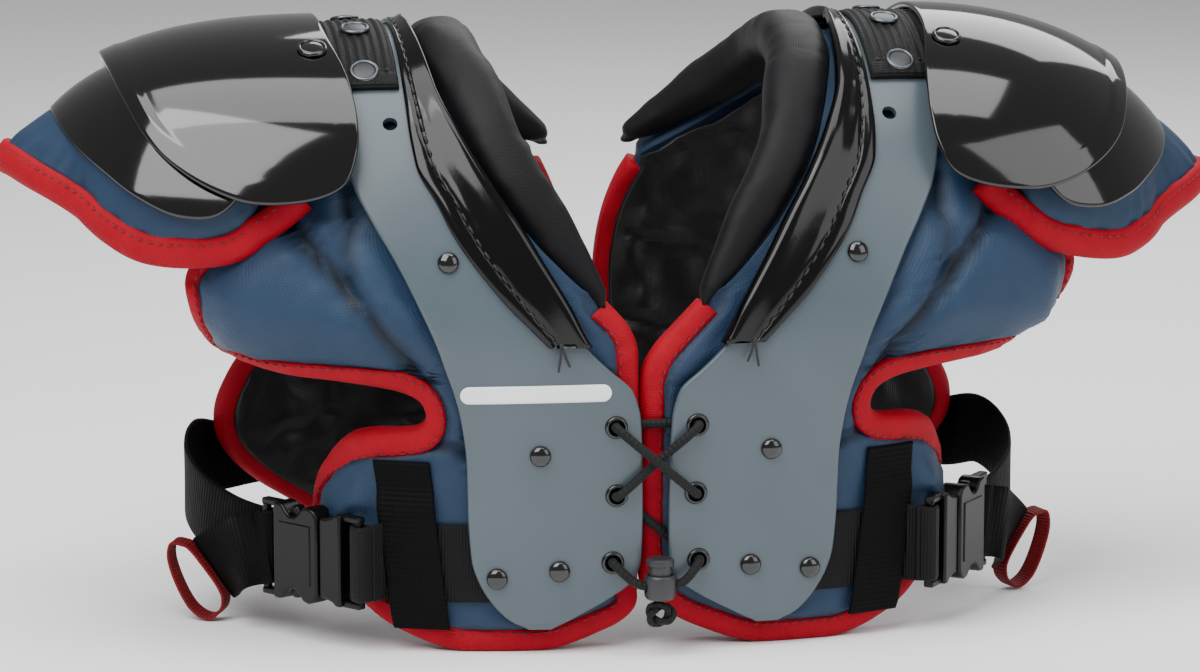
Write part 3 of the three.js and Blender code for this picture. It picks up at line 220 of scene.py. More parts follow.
def loft(name, rings, mirror, material, closed=False):
    rings = np.asarray(rings, float)
    rows, count = rings.shape[:2]
    u = lengths(rings.mean(1)) * 0.001
    u = np.append(u, 2 * u[-1] - u[-2])
    around = np.linalg.norm(np.roll(rings, -1, 1) - rings, axis=-1).mean(0)
    v = np.concatenate([[0], np.cumsum(around)]) * 0.001
    faces, uv = [], []
    for r in range(rows if closed else rows - 1):
        s = (r + 1) % rows
        for i in range(count):
            j = (i + 1) % count
            faces.append((r * count + i, r * count + j, s * count + j, s * count + i))
            uv.append(((u[r], v[i]), (u[r], v[i + 1]), (u[r + 1], v[i + 1]), (u[r + 1], v[i])))
    if not closed:
        end = (rows - 1) * count
        for i in range(count // 2 - 1):
            far = count - 1 - i
            faces += [(i, far, far - 1, i + 1), (end + i, end + i + 1, end + far - 1, end + far)]
            uv += [((0, v[i]),) * 4, ((u[rows - 1], v[i]),) * 4]
    return closedMesh(name, rings, faces, mirror, material, uv)


def dress(piece, slotName, *nodes, rides="pad"):
    if nodes:
        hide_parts(*nodes)
    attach(piece, rides)
    return piece


def cover(half, node, ending, rings, finish, slotName, closed=False, fill=None):  # a lofted piece for a node
    piece = loft(f"{node}_{half['side']}_{ending}", rings, half["mirror"], finishes[finish], closed)
    return dress(piece, slotName, f"{node}_{half['side']}")


def turnedPieces(name, profile, sides, places, mirror, material, solid=True):  # profile: radius and height pairs
    turns = np.arange(sides) / sides * 2 * math.pi
    rings = np.array([[(r * math.cos(t), r * math.sin(t), h) for t in turns] for r, h in profile])
    points, faces = [], []
    for foot, normal in places:
        side = unit(np.cross([0, 1, 0.001], normal))
        other = np.cross(normal, side)
        base = len(points) * len(profile) * sides
        points.append(foot + rings[..., :1] * side + rings[..., 1:2] * other + rings[..., 2:] * normal)
        faces += ringFaces(len(profile), sides, base)
        end = base + (len(profile) - 1) * sides
        first, last = range(base, base + sides), range(end, end + sides)
        if solid:
            faces += [tuple(first)[::-1], tuple(last)]
        else:
            faces += [(last[i - 1], last[i], first[i], first[i - 1]) for i in range(sides)]
    return closedMesh(name, np.array(points), faces, mirror, material)


def catmull(knots, perSpan=14, closed=False):  # a centripetal spline through the knots
    p = np.asarray(knots, float)
    if closed:
        p = np.concatenate([p[-1:], p, p[:2]])
    else:
        p = np.concatenate([2 * p[:1] - p[1:2], p, 2 * p[-1:] - p[-2:-1]])
    out = []
    for i in range(len(p) - 3):
        a, b, c, d = p[i : i + 4]
        t1 = max(np.linalg.norm(b - a), 1e-6) ** 0.5
        t2 = t1 + max(np.linalg.norm(c - b), 1e-6) ** 0.5
        t3 = t2 + max(np.linalg.norm(d - c), 1e-6) ** 0.5
        t = (t1 + (t2 - t1) * np.arange(perSpan) / perSpan)[:, None]
        ab = (t1 - t) / t1 * a + t / t1 * b
        bc = (t2 - t) / (t2 - t1) * b + (t - t1) / (t2 - t1) * c
        cd = (t3 - t) / (t3 - t2) * c + (t - t2) / (t3 - t2) * d
        abc = (t2 - t) / t2 * ab + t / t2 * bc
        bcd = (t3 - t) / (t3 - t1) * bc + (t - t1) / (t3 - t1) * cd
        out.append((t2 - t) / (t2 - t1) * abc + (t - t1) / (t2 - t1) * bcd)
    if not closed:
        out.append(p[-2:-1])
    return np.concatenate(out)


def evenly(points, count, closed=False):
    p = np.concatenate([points, points[:1]]) if closed else points
    at = lengths(p)
    wanted = np.linspace(0, at[-1], count + 1 if closed else count)
    line = np.stack([np.interp(wanted, at, p[:, k]) for k in range(p.shape[1])], -1)
    return line[:-1] if closed else line


def blurred(line, reach):  # each point moved to the middle of its neighbours
    share = np.ones(2 * reach + 1) / (2 * reach + 1)
    return np.stack([np.convolve(np.pad(line[:, k], reach, "edge"), share, "valid") for k in range(3)], -1)


def ripple(s, seed, size):  # smooth noise along a line, about -1 to 1, with bumps of about that size
    rng = np.random.default_rng(seed)
    table = rng.uniform(-1, 1, 4096)
    at = np.asarray(s, float) / size
    i = np.floor(at).astype(int)
    t = at - i
    t = t * t * (3 - 2 * t)
    return lerp(table[i % 4096], table[(i + 1) % 4096], t)


def ripple2(x, y, seed, sizeX, sizeY):
    rng = np.random.default_rng(seed)
    table = rng.uniform(-1, 1, (128, 128))
    u, v = np.asarray(x, float) / sizeX, np.asarray(y, float) / sizeY
    i, j = np.floor(u).astype(int), np.floor(v).astype(int)
    s, t = u - i, v - j
    s, t = s * s * (3 - 2 * s), t * t * (3 - 2 * t)
    i, j = i % 127, j % 127
    low = lerp(table[i, j], table[i + 1, j], s)
    return lerp(low, lerp(table[i, j + 1], table[i + 1, j + 1], s), t)


# Materials


def srgb(red, green, blue, alpha=1.0):
    def linear(c):
        c = c / 255
        return c / 12.92 if c <= 0.04045 else ((c + 0.055) / 1.055) ** 2.4

    return (linear(red), linear(green), linear(blue), alpha)


class Finish:  # a material and short ways to add and join its nodes
    def __init__(self, name, roughness, **sockets):
        self.material = bpy.data.materials.new(name)
        self.material.use_nodes = True
        self.tree = self.material.node_tree
        self.shader = self.tree.nodes["Principled BSDF"]
        for socket, value in {"Roughness": roughness, **sockets}.items():
            self.shader.inputs[socket.replace("_", " ")].default_value = value
        self.coords = self.tree.nodes.new("ShaderNodeTexCoord")

    def feed(self, socket, value):  # by a link, or as a plain value
        if isinstance(value, bpy.types.NodeSocket):
            self.tree.links.new(value, socket)
        else:
            socket.default_value = value

    def node(self, kind, settings={}, **inputs):
        made = self.tree.nodes.new(kind)
        for key, value in settings.items():
            setattr(made, key, value)
        for key, value in inputs.items():
            self.feed(made.inputs[key.replace("_", " ")], value)
        return made

    def noise(self, scale, detail=3.0, roughness=0.5, distortion=0.0):
        return self.node(
            "ShaderNodeTexNoise", Vector=self.coords.outputs["Object"], Scale=scale, Detail=detail,
            Roughness=roughness, Distortion=distortion,
        ).outputs["Fac"]

    def bands(self, period, direction, distortion=0.0):  # ribs a period apart, in metres
        return self.node(
            "ShaderNodeTexWave", {"wave_type": "BANDS", "bands_direction": direction},
            Vector=self.coords.outputs["UV"], Scale=0.314 / period, Distortion=distortion,
        ).outputs["Fac"]

    def math(self, operation, a, b):
        made = self.node("ShaderNodeMath", {"operation": operation})
        self.feed(made.inputs[0], a)
        self.feed(made.inputs[1], b)
        return made.outputs[0]

    def shade(self, value, *stops):  # grey from a height, by two stops, for painted shade in low places
        made = self.node("ShaderNodeValToRGB", Fac=value)
        for stop, (at, grey) in zip(made.color_ramp.elements, stops):
            stop.position, stop.color = at, (grey, grey, grey, 1)
        return made.outputs["Color"]

    def mix(self, share, a, b, blend="MIX"):
        made = self.node("ShaderNodeMix", {"data_type": "RGBA", "blend_type": blend})
        for index, value in ((0, share), (6, a), (7, b)):
            self.feed(made.inputs[index], value)
        return made.outputs[2]

    def colour(self, value):
        self.feed(self.shader.inputs["Base Color"], value)

    def rough(self, value, low, high):
        span = self.node("ShaderNodeMapRange", Value=value, To_Min=low, To_Max=high)
        self.feed(self.shader.inputs["Roughness"], span.outputs[0])

    def bump(self, height, strength, distance=0.001, under=None):
        made = self.node("ShaderNodeBump", Strength=strength, Distance=distance, Height=height)
        if under is not None:
            self.feed(made.inputs["Normal"], under)
        self.feed(self.shader.inputs["Normal"], made.outputs[0])
        return made.outputs[0]


def clothFinish(name, dark, light, roughness, weave, sheen=0.0, creases=0.25, gloss=0.5):
    f = Finish(name, roughness, Sheen_Weight=sheen, Sheen_Roughness=0.5, Specular_IOR_Level=gloss)
    threads = f.math("MULTIPLY", f.bands(weave, "X"), f.bands(weave, "Y"))
    base = f.mix(f.noise(38, 4.0, 0.6), srgb(*dark), srgb(*light))
    # painted shade: the colour darkens between the threads, where the bump is low
    shadedWeave = f.mix(0.7, base, f.shade(threads, (0.0, 0.78), (0.6, 1)), "MULTIPLY")
    # the "fold" attribute is painted shade: it darkens the colour towards near-black navy in creases and tucks
    fold = f.node("ShaderNodeAttribute", {"attribute_name": "fold"}).outputs["Fac"]
    f.colour(f.mix(f.math("MULTIPLY", fold, 0.95), shadedWeave, (0.0005, 0.002, 0.007, 1)))
    f.rough(f.noise(120, 2.0), roughness - 0.06, roughness + 0.06)
    f.bump(threads, 0.35, 0.00025, f.bump(f.noise(70, 3.0, 0.45, 0.6), creases, 0.0016))
    return f.material


def ribbedFinish(name, dark, light, roughness, rib, cross, sheen=0.0, gloss=0.35, depth=0.6):
    f = Finish(name, roughness, Sheen_Weight=sheen, Specular_IOR_Level=gloss)
    ribs, threads = f.bands(rib, "X", 0.15), f.bands(cross, "Y", 0.2)
    height = f.math("ADD", f.math("MULTIPLY", ribs, 0.75), f.math("MULTIPLY", threads, 0.25))
    base = f.mix(f.noise(90, 3.0), srgb(*dark), srgb(*light))
    # painted shade: the colour darkens in the grooves between the ribs, by the same height as the bump
    f.colour(f.mix(depth, base, f.shade(height, (0.1, 0.5), (0.7, 1)), "MULTIPLY"))
    f.rough(f.noise(160, 2.0), roughness - 0.05, roughness + 0.05)
    f.bump(height, depth, 0.0005, f.bump(f.noise(60, 2.0, 0.4), 0.25, 0.0012))
    return f.material


def mouldedFinish(name, dark, light, roughness, grain, grainDepth, coat=0.0, spread=0.04, gloss=0.5):
    f = Finish(name, roughness, Coat_Weight=coat, Coat_Roughness=0.04, Specular_IOR_Level=gloss)
    f.colour(f.mix(f.noise(22, 4.0, 0.55), srgb(*dark), srgb(*light)))
    f.rough(f.noise(55, 5.0, 0.6), max(roughness - spread, 0.02), roughness + spread)
    f.bump(f.noise(grain, 2.0), grainDepth, 0.0002, f.bump(f.noise(26, 1.0, 0.3), 0.06, 0.001))
    return f.material


def steelFinish():
    f = Finish("snapSteel", 0.3, Metallic=0.85)
    f.colour(f.mix(f.noise(300, 3.0), srgb(66, 72, 78), srgb(104, 112, 120)))
    f.rough(f.noise(600, 3.0), 0.22, 0.4)
    f.bump(f.noise(900, 2.0), 0.1, 0.0002)
    return f.material


finishes = {
    "plate": mouldedFinish("satinPlate", (66, 77, 83), (77, 89, 96), 0.34, 1500, 0.08),
    "cap": mouldedFinish("blackGlossShell", (2, 2, 3), (5, 5, 6), 0.08, 900, 0.02, coat=0.3, spread=0.02),
    "pad": clothFinish("blueNylon", (19, 44, 70), (28, 55, 83), 0.56, 0.0011, 0.02, 0.3, 0.35),
    "lining": clothFinish("blackNylon", (4, 4, 7), (10, 10, 15), 0.34, 0.0006, 0.02, 0.6, 0.42),
    "roll": clothFinish("charcoalSatin", (8, 8, 10), (14, 13, 17), 0.48, 0.0006, 0.02, 0.25, 0.18),
    "tape": ribbedFinish("redTape", (142, 1, 22), (164, 3, 30), 0.66, 0.0007, 0.0009, 0.0, 0.15, 0.3),
    "webbing": ribbedFinish("blackWebbing", (4, 4, 5), (9, 9, 10), 0.62, 0.0021, 0.0016, 0.0, 0.08),
    "belt": ribbedFinish("blackBelt", (7, 7, 8), (13, 13, 15), 0.6, 0.0013, 0.0011, 0.02, 0.18),
    "pull": ribbedFinish("darkRedRibbon", (104, 6, 14), (132, 12, 20), 0.66, 0.0014, 0.002, 0.02, 0.25),
    "strip": mouldedFinish("glossVinyl", (3, 3, 4), (6, 6, 7), 0.12, 700, 0.05, coat=0.06, spread=0.03, gloss=0.3),
    "buckle": mouldedFinish("blackAcetal", (5, 5, 6), (10, 10, 11), 0.3, 800, 0.1, gloss=0.25),
    "rivet": mouldedFinish("blackRivet", (5, 5, 6), (10, 10, 11), 0.12, 700, 0.05, coat=0.5),
    "grommet": mouldedFinish("blackGrommet", (10, 10, 11), (18, 19, 20), 0.2, 700, 0.05, coat=0.3),
    "thread": clothFinish("blackThread", (8, 8, 9), (18, 18, 19), 0.6, 0.0006, 0.1, 0.1),
    "redThread": clothFinish("redThread", (84, 2, 8), (110, 4, 12), 0.6, 0.0006, 0.1, 0.1),
    "cord": ribbedFinish("blackLace", (8, 8, 9), (22, 22, 24), 0.68, 0.0022, 0.0018, 0.04, 0.25),
    "lock": mouldedFinish("greyLock", (34, 35, 38), (46, 47, 51), 0.4, 900, 0.2),
    "label": mouldedFinish("whiteInk", (232, 234, 236), (242, 243, 245), 0.45, 900, 0.08),
    "snap": steelFinish(),
}
print("finishes made:", len(finishes))


# The edge of one half: from the collar at the chest, round the foot and the arm notch, to the collar at the back


def edgeOf(half, count=620):
    def lapped(table, shift, sign, rise):
        rows = []
        for run, across in table:
            lap = shift * smooth(run, *lapFrom) * (1 - smooth(run, *lapTo))
            lifted = run if run > lapFrom[1] else run - rise * (1 - smooth(run, 0.5, lapFrom[1]))
            rows.append((across * body["padReach"] + lap, sign * lifted * body["stretch"]))
        return rows

    outer = [(across * body["padReach"], run * body["stretch"]) for run, across in padOuterFront][::-1]
    outer += [(across * body["padReach"], -run * body["stretch"]) for run, across in padOuterBack[1:]]
    knots = lapped(padInnerEdge, half["frontLap"], 1, 0)[::-1] + outer
    knots += lapped(padInnerEdge, half["backLap"], -1, backRise)
    flat = evenly(catmull(knots), count)
    x, run = flat[:, 0], np.clip(flat[:, 1] / body["stretch"], -1, 1)
    point = skin(x, run)
    along = unit(blurred(np.gradient(point, axis=0), 2))
    inward = unit(np.cross(skinNormal(x, run), along))
    byX = skin(x + 0.5, run) - skin(x - 0.5, run)
    low, high = np.maximum(run - 0.002, -1), np.minimum(run + 0.002, 1)
    byRun = (skin(x, high) - skin(x, low)) / (high - low)[:, None]
    a, b, c = (byX * byX).sum(-1), (byX * byRun).sum(-1), (byRun * byRun).sum(-1)
    p, q = (byX * inward).sum(-1), (byRun * inward).sum(-1)
    size = a * c - b * b
    return {
        "x": x, "run": run, "s": lengths(point), "perX": (p * c - q * b) / size, "perRun": (q * a - p * b) / size,
    }


def inset(edge, width):
    return edge["x"] + edge["perX"] * width, np.clip(edge["run"] + edge["perRun"] * width, -1, 1)


def edgeAsRuns(edge, width):  # the inset edge as x by run: outer side, chest side and spine side
    x, run = inset(edge, width)
    chestFoot = len(run) - 1 - np.argmax(edge["run"][::-1])
    spineFoot = len(run) - 1 - np.argmin(edge["run"][::-1])

    def side(low, high):
        order = np.argsort(run[low:high], kind="stable")
        runs, xs = run[low:high][order], x[low:high][order]
        keep = np.concatenate([[True], np.diff(runs) > 1e-4])
        return lambda at: np.interp(at, runs[keep], xs[keep])

    outer, chest, spine = side(chestFoot, spineFoot + 1), side(0, chestFoot + 1), side(spineFoot, len(run))

    def inner(at):
        beside = bothWays(rollFront, rollBack, at, 2) * body["padReach"] + 0.6
        return np.where(at > rollFront[-1][0], chest(at), np.where(at < -rollBack[-1][0], spine(at), beside))

    return inner, outer


def bothWays(front, back, run, column=1):  # from the front's table or the back's, by the run's sign
    share = np.abs(run)
    return np.where(run >= 0, follow(front, share, column), follow(back, share, column))


def plateEdges(run):
    return [bothWays(plateFront, plateBack, run, column) * body["plateReach"] for column in (1, 2)]


def nearest(points, line, s):  # distance to a line of points, and how far along it that is
    flat = points.reshape(-1, 3)
    away, place = np.empty(len(flat)), np.empty(len(flat))
    for i in range(0, len(flat), 2000):
        d = np.linalg.norm(flat[i : i + 2000, None] - line[None], axis=-1)
        k = d.argmin(1)
        away[i : i + 2000], place[i : i + 2000] = d[np.arange(len(k)), k], s[k]
    return away.reshape(points.shape[:-1]), place.reshape(points.shape[:-1])


padLook = {
    "underTape": 4.5,
    "fill": 0.6,
    "bulge": 7.5,
    "neckBulge": 2.2,
    "tapePucker": 1.7,
    "platePucker": 1.5,
    "slackWaves": 1.5,
    "tapeTuck": 1.9,
    "creaseDepth": 7.0,
    "creaseWidth": 3.4,
    "creases": [  # share of the depth, then x and run
        (1.0, [(146, 0.40), (136, 0.45), (124, 0.50), (112, 0.55), (101, 0.595), (96, 0.63)]),
        (0.6, [(121, 0.36), (121.5, 0.42), (122.5, 0.5)]),
        (0.7, [(104, 0.70), (92, 0.715), (78, 0.725), (70, 0.728)]),
    ],
    "beltHeight": 37,
    "keeperAt": 97,
    "strapHeight": 56,
}
padRows = np.concatenate([
    np.linspace(-0.972, -0.62, 56)[:-1],
    np.linspace(-0.62, 0.6, 120)[:-1],
    np.linspace(0.6, 0.75, 64)[:-1],
    np.linspace(0.75, 0.972, 38),
])


def padGrid(edge, width, columns):
    inner, outer = edgeAsRuns(edge, width)
    shares = 0.5 - 0.5 * np.cos(np.linspace(0, math.pi, columns))
    shares = 0.55 * shares + 0.45 * np.linspace(0, 1, columns)
    low, high = inner(padRows), np.maximum(outer(padRows), inner(padRows) + 4)
    x = low[:, None] + (high - low)[:, None] * shares[None]
    return x, np.broadcast_to(padRows[:, None], x.shape)


def faceAndBack(x, run, top, bottom):  # rings through a layer's face and back
    return np.concatenate([bodyPoint(x, run, top), bodyPoint(x, run, bottom)[:, ::-1]], 1)


def pressedFlat(x, height, chest):  # 0 where webbing lies on the pad, 1 where it is free
    look = padLook
    belt = (1 - smooth(np.abs(height - look["beltHeight"]), 17, 25)) * (1 - smooth(x, 116, 128)) * chest
    keeper = (1 - smooth(np.abs(x - look["keeperAt"]), 16, 23)) * (1 - smooth(height, 76, 88)) * chest
    strap = (1 - smooth(np.abs(height - look["strapHeight"]), 16, 24)) * smooth(x, 60, 78) * ~chest
    return (1 - belt) * (1 - keeper) * (1 - strap)


def bodyPad(half):
    look, edge, seed = padLook, half["edge"], half["seed"]
    x, run = padGrid(edge, look["underTape"], 44)
    at = bodyPoint(x, run, padTop)
    away, place = nearest(at, bodyPoint(edge["x"], edge["run"], padTop), edge["s"])
    plateInner, plateOuter = plateEdges(run)
    beyond, within = x - plateOuter, plateInner - x
    underPlate = (beyond < 0) & (within < 0) & (np.abs(run) < 0.965)
    free = pressedFlat(x, at[..., 2], run > 0)
    along = run * body["stretch"]

    rise = look["bulge"] * smooth(away, 9, 30) * smooth(beyond, -1, 18)
    rise = rise + look["neckBulge"] * smooth(away, 9, 19) * smooth(within, 0, 8) * (np.abs(run) > 0.58)
    rise = rise * free * np.where(np.abs(run) < 0.3, 0.3, 1.0)
    gather = np.abs(ripple(place, seed, 4.6)) ** 0.7
    rise = rise + look["tapePucker"] * gather * np.exp(-np.maximum(away - 9, 0) / 8) * smooth(away, 9, 11) * free
    hug = np.exp(-np.maximum(beyond, 0) / 10) * (beyond > 0) * smooth(away, 4, 14)
    rise = rise + look["platePucker"] * ripple(along, seed + 1, 6.5) * hug * free
    slack = ripple2(x + 40, along + 400, seed + 2, 26, 38) + 0.5 * ripple2(x, along + 400, seed + 3, 13, 17)
    rise = rise + look["slackWaves"] * slack * smooth(away, 6, 26) * np.where(underPlate, 0.0, free)

    # painted shade: darkness along each crease, kept for the "fold" attribute
    paintedShade = np.zeros_like(rise)
    for depth, crease in look["creases"]:
        knots = evenly(catmull([(a, r * body["stretch"]) for a, r in crease]), 90)
        gaps = np.linalg.norm(np.stack([x, along], -1)[..., None, :] - knots, axis=-1)
        reach, place = gaps.min(-1), gaps.argmin(-1)
        rise = rise - look["creaseDepth"] * depth * np.exp(-((reach / look["creaseWidth"]) ** 2)) * free
        rise = rise + 0.9 * ripple(place * 1.1, seed + 6, 2.6) * np.exp(-(((reach - 6) / 5) ** 2)) * free
        paintedShade = np.maximum(paintedShade, depth * np.exp(-((reach / 2.2) ** 2)) * free)
    # more painted shade where the pad tucks under the tape
    paintedShade = np.maximum(paintedShade, 0.55 * np.exp(-(((away - 9.5) / 1.6) ** 2)) * (0.4 + 0.6 * (1 - gather)))

    top = np.where(underPlate, np.minimum(padTop + rise, padTop - 0.1), padTop + rise)
    top = top - look["tapeTuck"] * (1 - smooth(away, 8.6, 10.2))
    bottom = padBottom + 0.6 + 1.4 * (1 - smooth(away, 4, 11)) + 0.5 * ripple2(x, along + 500, seed + 4, 22, 22)
    rings = faceAndBack(x, run, top, np.minimum(bottom, (top + bottom) / 2 - 1))
    pad = cover(half, "body_pad", "soft", rings, "pad", "pad_fabric", fill=look["fill"])
    # the painted crease and tuck shade goes to the mesh as the "fold" attribute
    shade = pad.data.attributes.new("fold", "FLOAT", "POINT")
    shade.data.foreach_set("value", np.concatenate([paintedShade, 0 * paintedShade], 1).ravel())


liningLook = {"inset": 5.5, "wrinkle": 4.2, "fold": 13.0, "thick": 1.2}


def lining(half):
    look, edge, seed = liningLook, half["edge"], half["seed"] + 20
    x, run = padGrid(edge, look["inset"], 40)
    away, place = nearest(bodyPoint(x, run, liningTop), bodyPoint(edge["x"], edge["run"], liningTop), edge["s"])
    along = run * body["stretch"]
    waves = ripple2(x + 30, along + 400 + x * 0.25, seed, look["fold"] * 4, look["fold"])
    waves = waves + 0.5 * ripple2(x, along + 350 + x * 0.4, seed + 1, 9, 12)
    drop = look["wrinkle"] * np.abs(waves) * smooth(away, 4, 16)
    drop = drop + 0.8 * (0.5 + 0.5 * ripple(place, seed + 2, 4.2)) * np.exp(-away / 10)
    face = liningTop + 1.0 - drop + 1.2 * (1 - smooth(away, 4, 10))
    cover(half, "lining", "soft", faceAndBack(x, run, face, face - look["thick"]), "lining", "lining_fabric")


tapeLook = {"wave": 0.45, "pucker": 0.4, "stitch": (2.7, 1.5, 0.34), "stitchInset": 7.6}
tapeSection = [  # width into the pad, and how far down the tape's thickness
    (9.0, 0.03), (7.4, 0.0), (5.2, -0.02), (3.0, 0.0), (1.2, 0.06), (0.1, 0.18), (-0.35, 0.34), (-0.45, 0.5),
    (-0.35, 0.66), (0.1, 0.82), (1.2, 0.94), (3.0, 1.0), (5.2, 1.02), (9.0, 1.0),
]


def stitches(half, name, line, normal, finish, slotName, length, gap, thick):  # short threads along a line
    s = lengths(line)
    points, faces = [], []
    for start in np.arange(gap, s[-1] - length, length + gap):
        ends = [np.array([np.interp(start + k * length, s, line[:, m]) for m in range(3)]) for k in (0, 0.5, 1)]
        up = unit(np.array([np.interp(start + length / 2, s, normal[:, m]) for m in range(3)]))
        side = unit(np.cross(ends[2] - ends[0], up))
        base = len(points)
        for end, lift, wide in zip(ends, (-0.25, 0.3, -0.25), (0.75, 1.0, 0.75)):
            for t in np.arange(6) / 6 * 2 * math.pi:
                points.append(end + up * lift + (side * math.cos(t) + up * math.sin(t)) * thick * wide)
        faces += ringFaces(3, 6, base)
        faces += [tuple(range(base, base + 6))[::-1], tuple(range(base + 12, base + 18))]
    dress(closedMesh(name, points, faces, half["mirror"], finishes[finish]), slotName)


def tape(half):
    look, edge, seed = tapeLook, half["edge"], half["seed"] + 40
    s = edge["s"]
    rings = []
    for width, down in tapeSection:
        x, run = inset(edge, width + (look["wave"] * ripple(s, seed, 9) if width > 5 else 0))
        lift = tapeTop + 0.25 - (walls["tape"] - 0.4) * down
        if 2 < width < 8.5:
            lift = lift + look["pucker"] * ripple(s, seed + 1, 5.5) * (1 if down < 0.5 else -1)
        rings.append(bodyPoint(x, run, lift))
    cover(half, "binding", "tape", np.stack(rings, 1), "tape", "edge_tape")
    x, run = inset(edge, look["stitchInset"])
    line, normal = bodyPoint(x, run, tapeTop + 0.35), skinNormal(x, run)
    stitches(half, f"binding_stitches_{half['side']}", line, normal, "redThread", "edge_tape", *look["stitch"])


rollLook = {"thick": 11.0, "endThick": 5.5, "depth": -8.5, "pucker": 1.7, "slack": 1.1, "tuck": 0.02, "fill": 0.8}


def squared(wave, power):  # a sine or cosine with squarer shoulders
    return np.sign(wave) * np.abs(wave) ** power


def collarRoll(half):
    look, seed = rollLook, half["seed"] + 60
    reach = rollFront[-1][0]
    runs = np.linspace(-rollBack[-1][0], reach + look["tuck"], 150)
    inner, outer = [bothWays(rollFront, rollBack, runs, column) * body["padReach"] for column in (1, 2)]
    ends = np.where(runs > 0, reach, rollBack[-1][0])
    thick = lerp(look["thick"], look["endThick"], smooth(np.abs(runs) / ends, 0.55, 1))
    middle, wide = (inner + outer) / 2 - np.maximum(runs - reach, 0) * 110, (outer - inner) / 2
    turns = (np.arange(36) + 0.5) / 36 * 2 * math.pi
    c, n = np.cos(turns)[None], np.sin(turns)[None]
    s = runs[:, None] * body["stretch"]
    crease = look["pucker"] * ripple(s + 0 * c, seed, 5.2) * np.abs(c) ** 3
    slack = look["slack"] * ripple2(s + 400, turns[None] * 14 + 0 * s, seed + 1, 19, 16)
    closing = 0.4 + 0.6 * smooth(np.minimum(s - s[0], s[-1] - s), 0, 7)
    x = middle[:, None] - wide[:, None] * squared(c, 0.8) * closing
    lift = look["depth"] + (thick[:, None] * squared(n, 0.8) + (crease + slack) * n) * closing
    cover(half, "collar_roll", "soft", bodyPoint(x, runs[:, None], lift), "roll", "roll_fabric", fill=look["fill"])


stripLook = {
    "stitchShare": 0.72,
    "pucker": 0.2,
    "stitch": (3.4, 2.6, 0.5),
    "profile": [  # share from the neck edge to the plate side, and lift
        (-0.02, -3.4), (-0.03, 0.2), (0.0, 2.4), (0.05, 3.7), (0.12, 4.15), (0.2, 3.95), (0.3, 3.5), (0.42, 3.15),
        (0.54, 2.9), (0.64, 2.7), (0.69, 2.2), (0.72, 1.9), (0.75, 2.15), (0.8, 2.5), (0.88, 2.35), (0.95, 2.05),
        (0.99, 1.5), (1.0, 0.9), (0.99, 0.35), (0.8, 0.3), (0.5, 0.3), (0.12, 0.3),
    ],
    "threadEnds": [(-3.2, 9.5), (1.4, 11.5)],  # where the seam stops: sideways and down
}


def neckStrip(half):
    look, side, seed = stripLook, half["side"], half["seed"] + 80
    runs = np.linspace(-stripBack[-1][0], stripFront[-1][0], 170)
    outer = bothWays(stripFront, stripBack, runs) * body["padReach"]
    start = plateEdges(runs)[0] - 2.2
    s = runs * body["stretch"]
    rings = []
    for share, lift in look["profile"]:
        near = math.exp(-(((share - look["stitchShare"]) / 0.14) ** 2))
        wrinkle = look["pucker"] * ripple(s, seed, 3.8) * (near if lift > 0.8 else 0)
        slack = 0.15 * ripple(s + 300 * share, seed + 1, 30) if lift > 1 else 0
        rings.append(bodyPoint(lerp(start, outer, share), runs, lift + wrinkle + slack))
    cover(half, "neck_strip", "vinyl", np.stack(rings, 1), "strip", "trim_rubber")
    x = lerp(start, outer, look["stitchShare"])
    line, normal = bodyPoint(x, runs, 2.25), skinNormal(x, runs)
    stitches(half, f"neck_stitches_{side}", line, normal, "thread", "trim_rubber", *look["stitch"])
    foot = bodyPoint(x[-1], runs[-1] - 0.006, 2.6)
    for i, (sideways, reach) in enumerate(look["threadEnds"]):
        knots = [foot, foot + [sideways * 0.4, -1.0, -reach * 0.5], foot + [sideways, -1.2, -reach]]
        tube(f"thread_end_{i}_{side}", knots, 0.55, 5, 10, half["mirror"], "thread", "trim_rubber")


def tube(name, knots, radius, sides, count, mirror, finish, slotName, nodes=(), closed=False):
    line = evenly(catmull(knots, 16, closed), count, closed)
    side = np.array([0.0, 0.0, 1.0])
    frames = []
    for i, at in enumerate(line):
        after = line[(i + 1) % count] if closed else line[min(i + 1, count - 1)]
        before = line[i - 1] if closed else line[max(i - 1, 0)]
        along = unit(after - before)
        side = unit(side - along * (side @ along))
        frames.append((at, side, np.cross(along, side)))
    seam = 0.0
    if closed:
        seam = math.atan2(frames[0][1] @ frames[-1][2], frames[0][1] @ frames[-1][1])
    rings = []
    for i, (at, one, other) in enumerate(frames):
        turns = (np.arange(sides) + 0.5) / sides * 2 * math.pi + seam * i / count
        rings.append(at + one * np.cos(turns)[:, None] * radius + other * np.sin(turns)[:, None] * radius)
    dress(loft(name, np.stack(rings), mirror, finishes[finish], closed), slotName, *nodes)


# Moulded plates, their grommets, rivets and snaps


def drill(piece, cutters):
    for cutter in cutters:
        made = piece.modifiers.new("hole", "BOOLEAN")
        made.operation = "DIFFERENCE"
        made.solver = "EXACT"
        made.object = cutter
    bpy.context.view_layer.update()
    cut = bpy.data.meshes.new_from_object(piece.evaluated_get(bpy.context.evaluated_depsgraph_get()))
    piece.modifiers.clear()
    piece.data = cut
    cut.set_sharp_from_angle(angle=0.6)
    for cutter in cutters:
        bpy.data.objects.remove(cutter)
    return piece


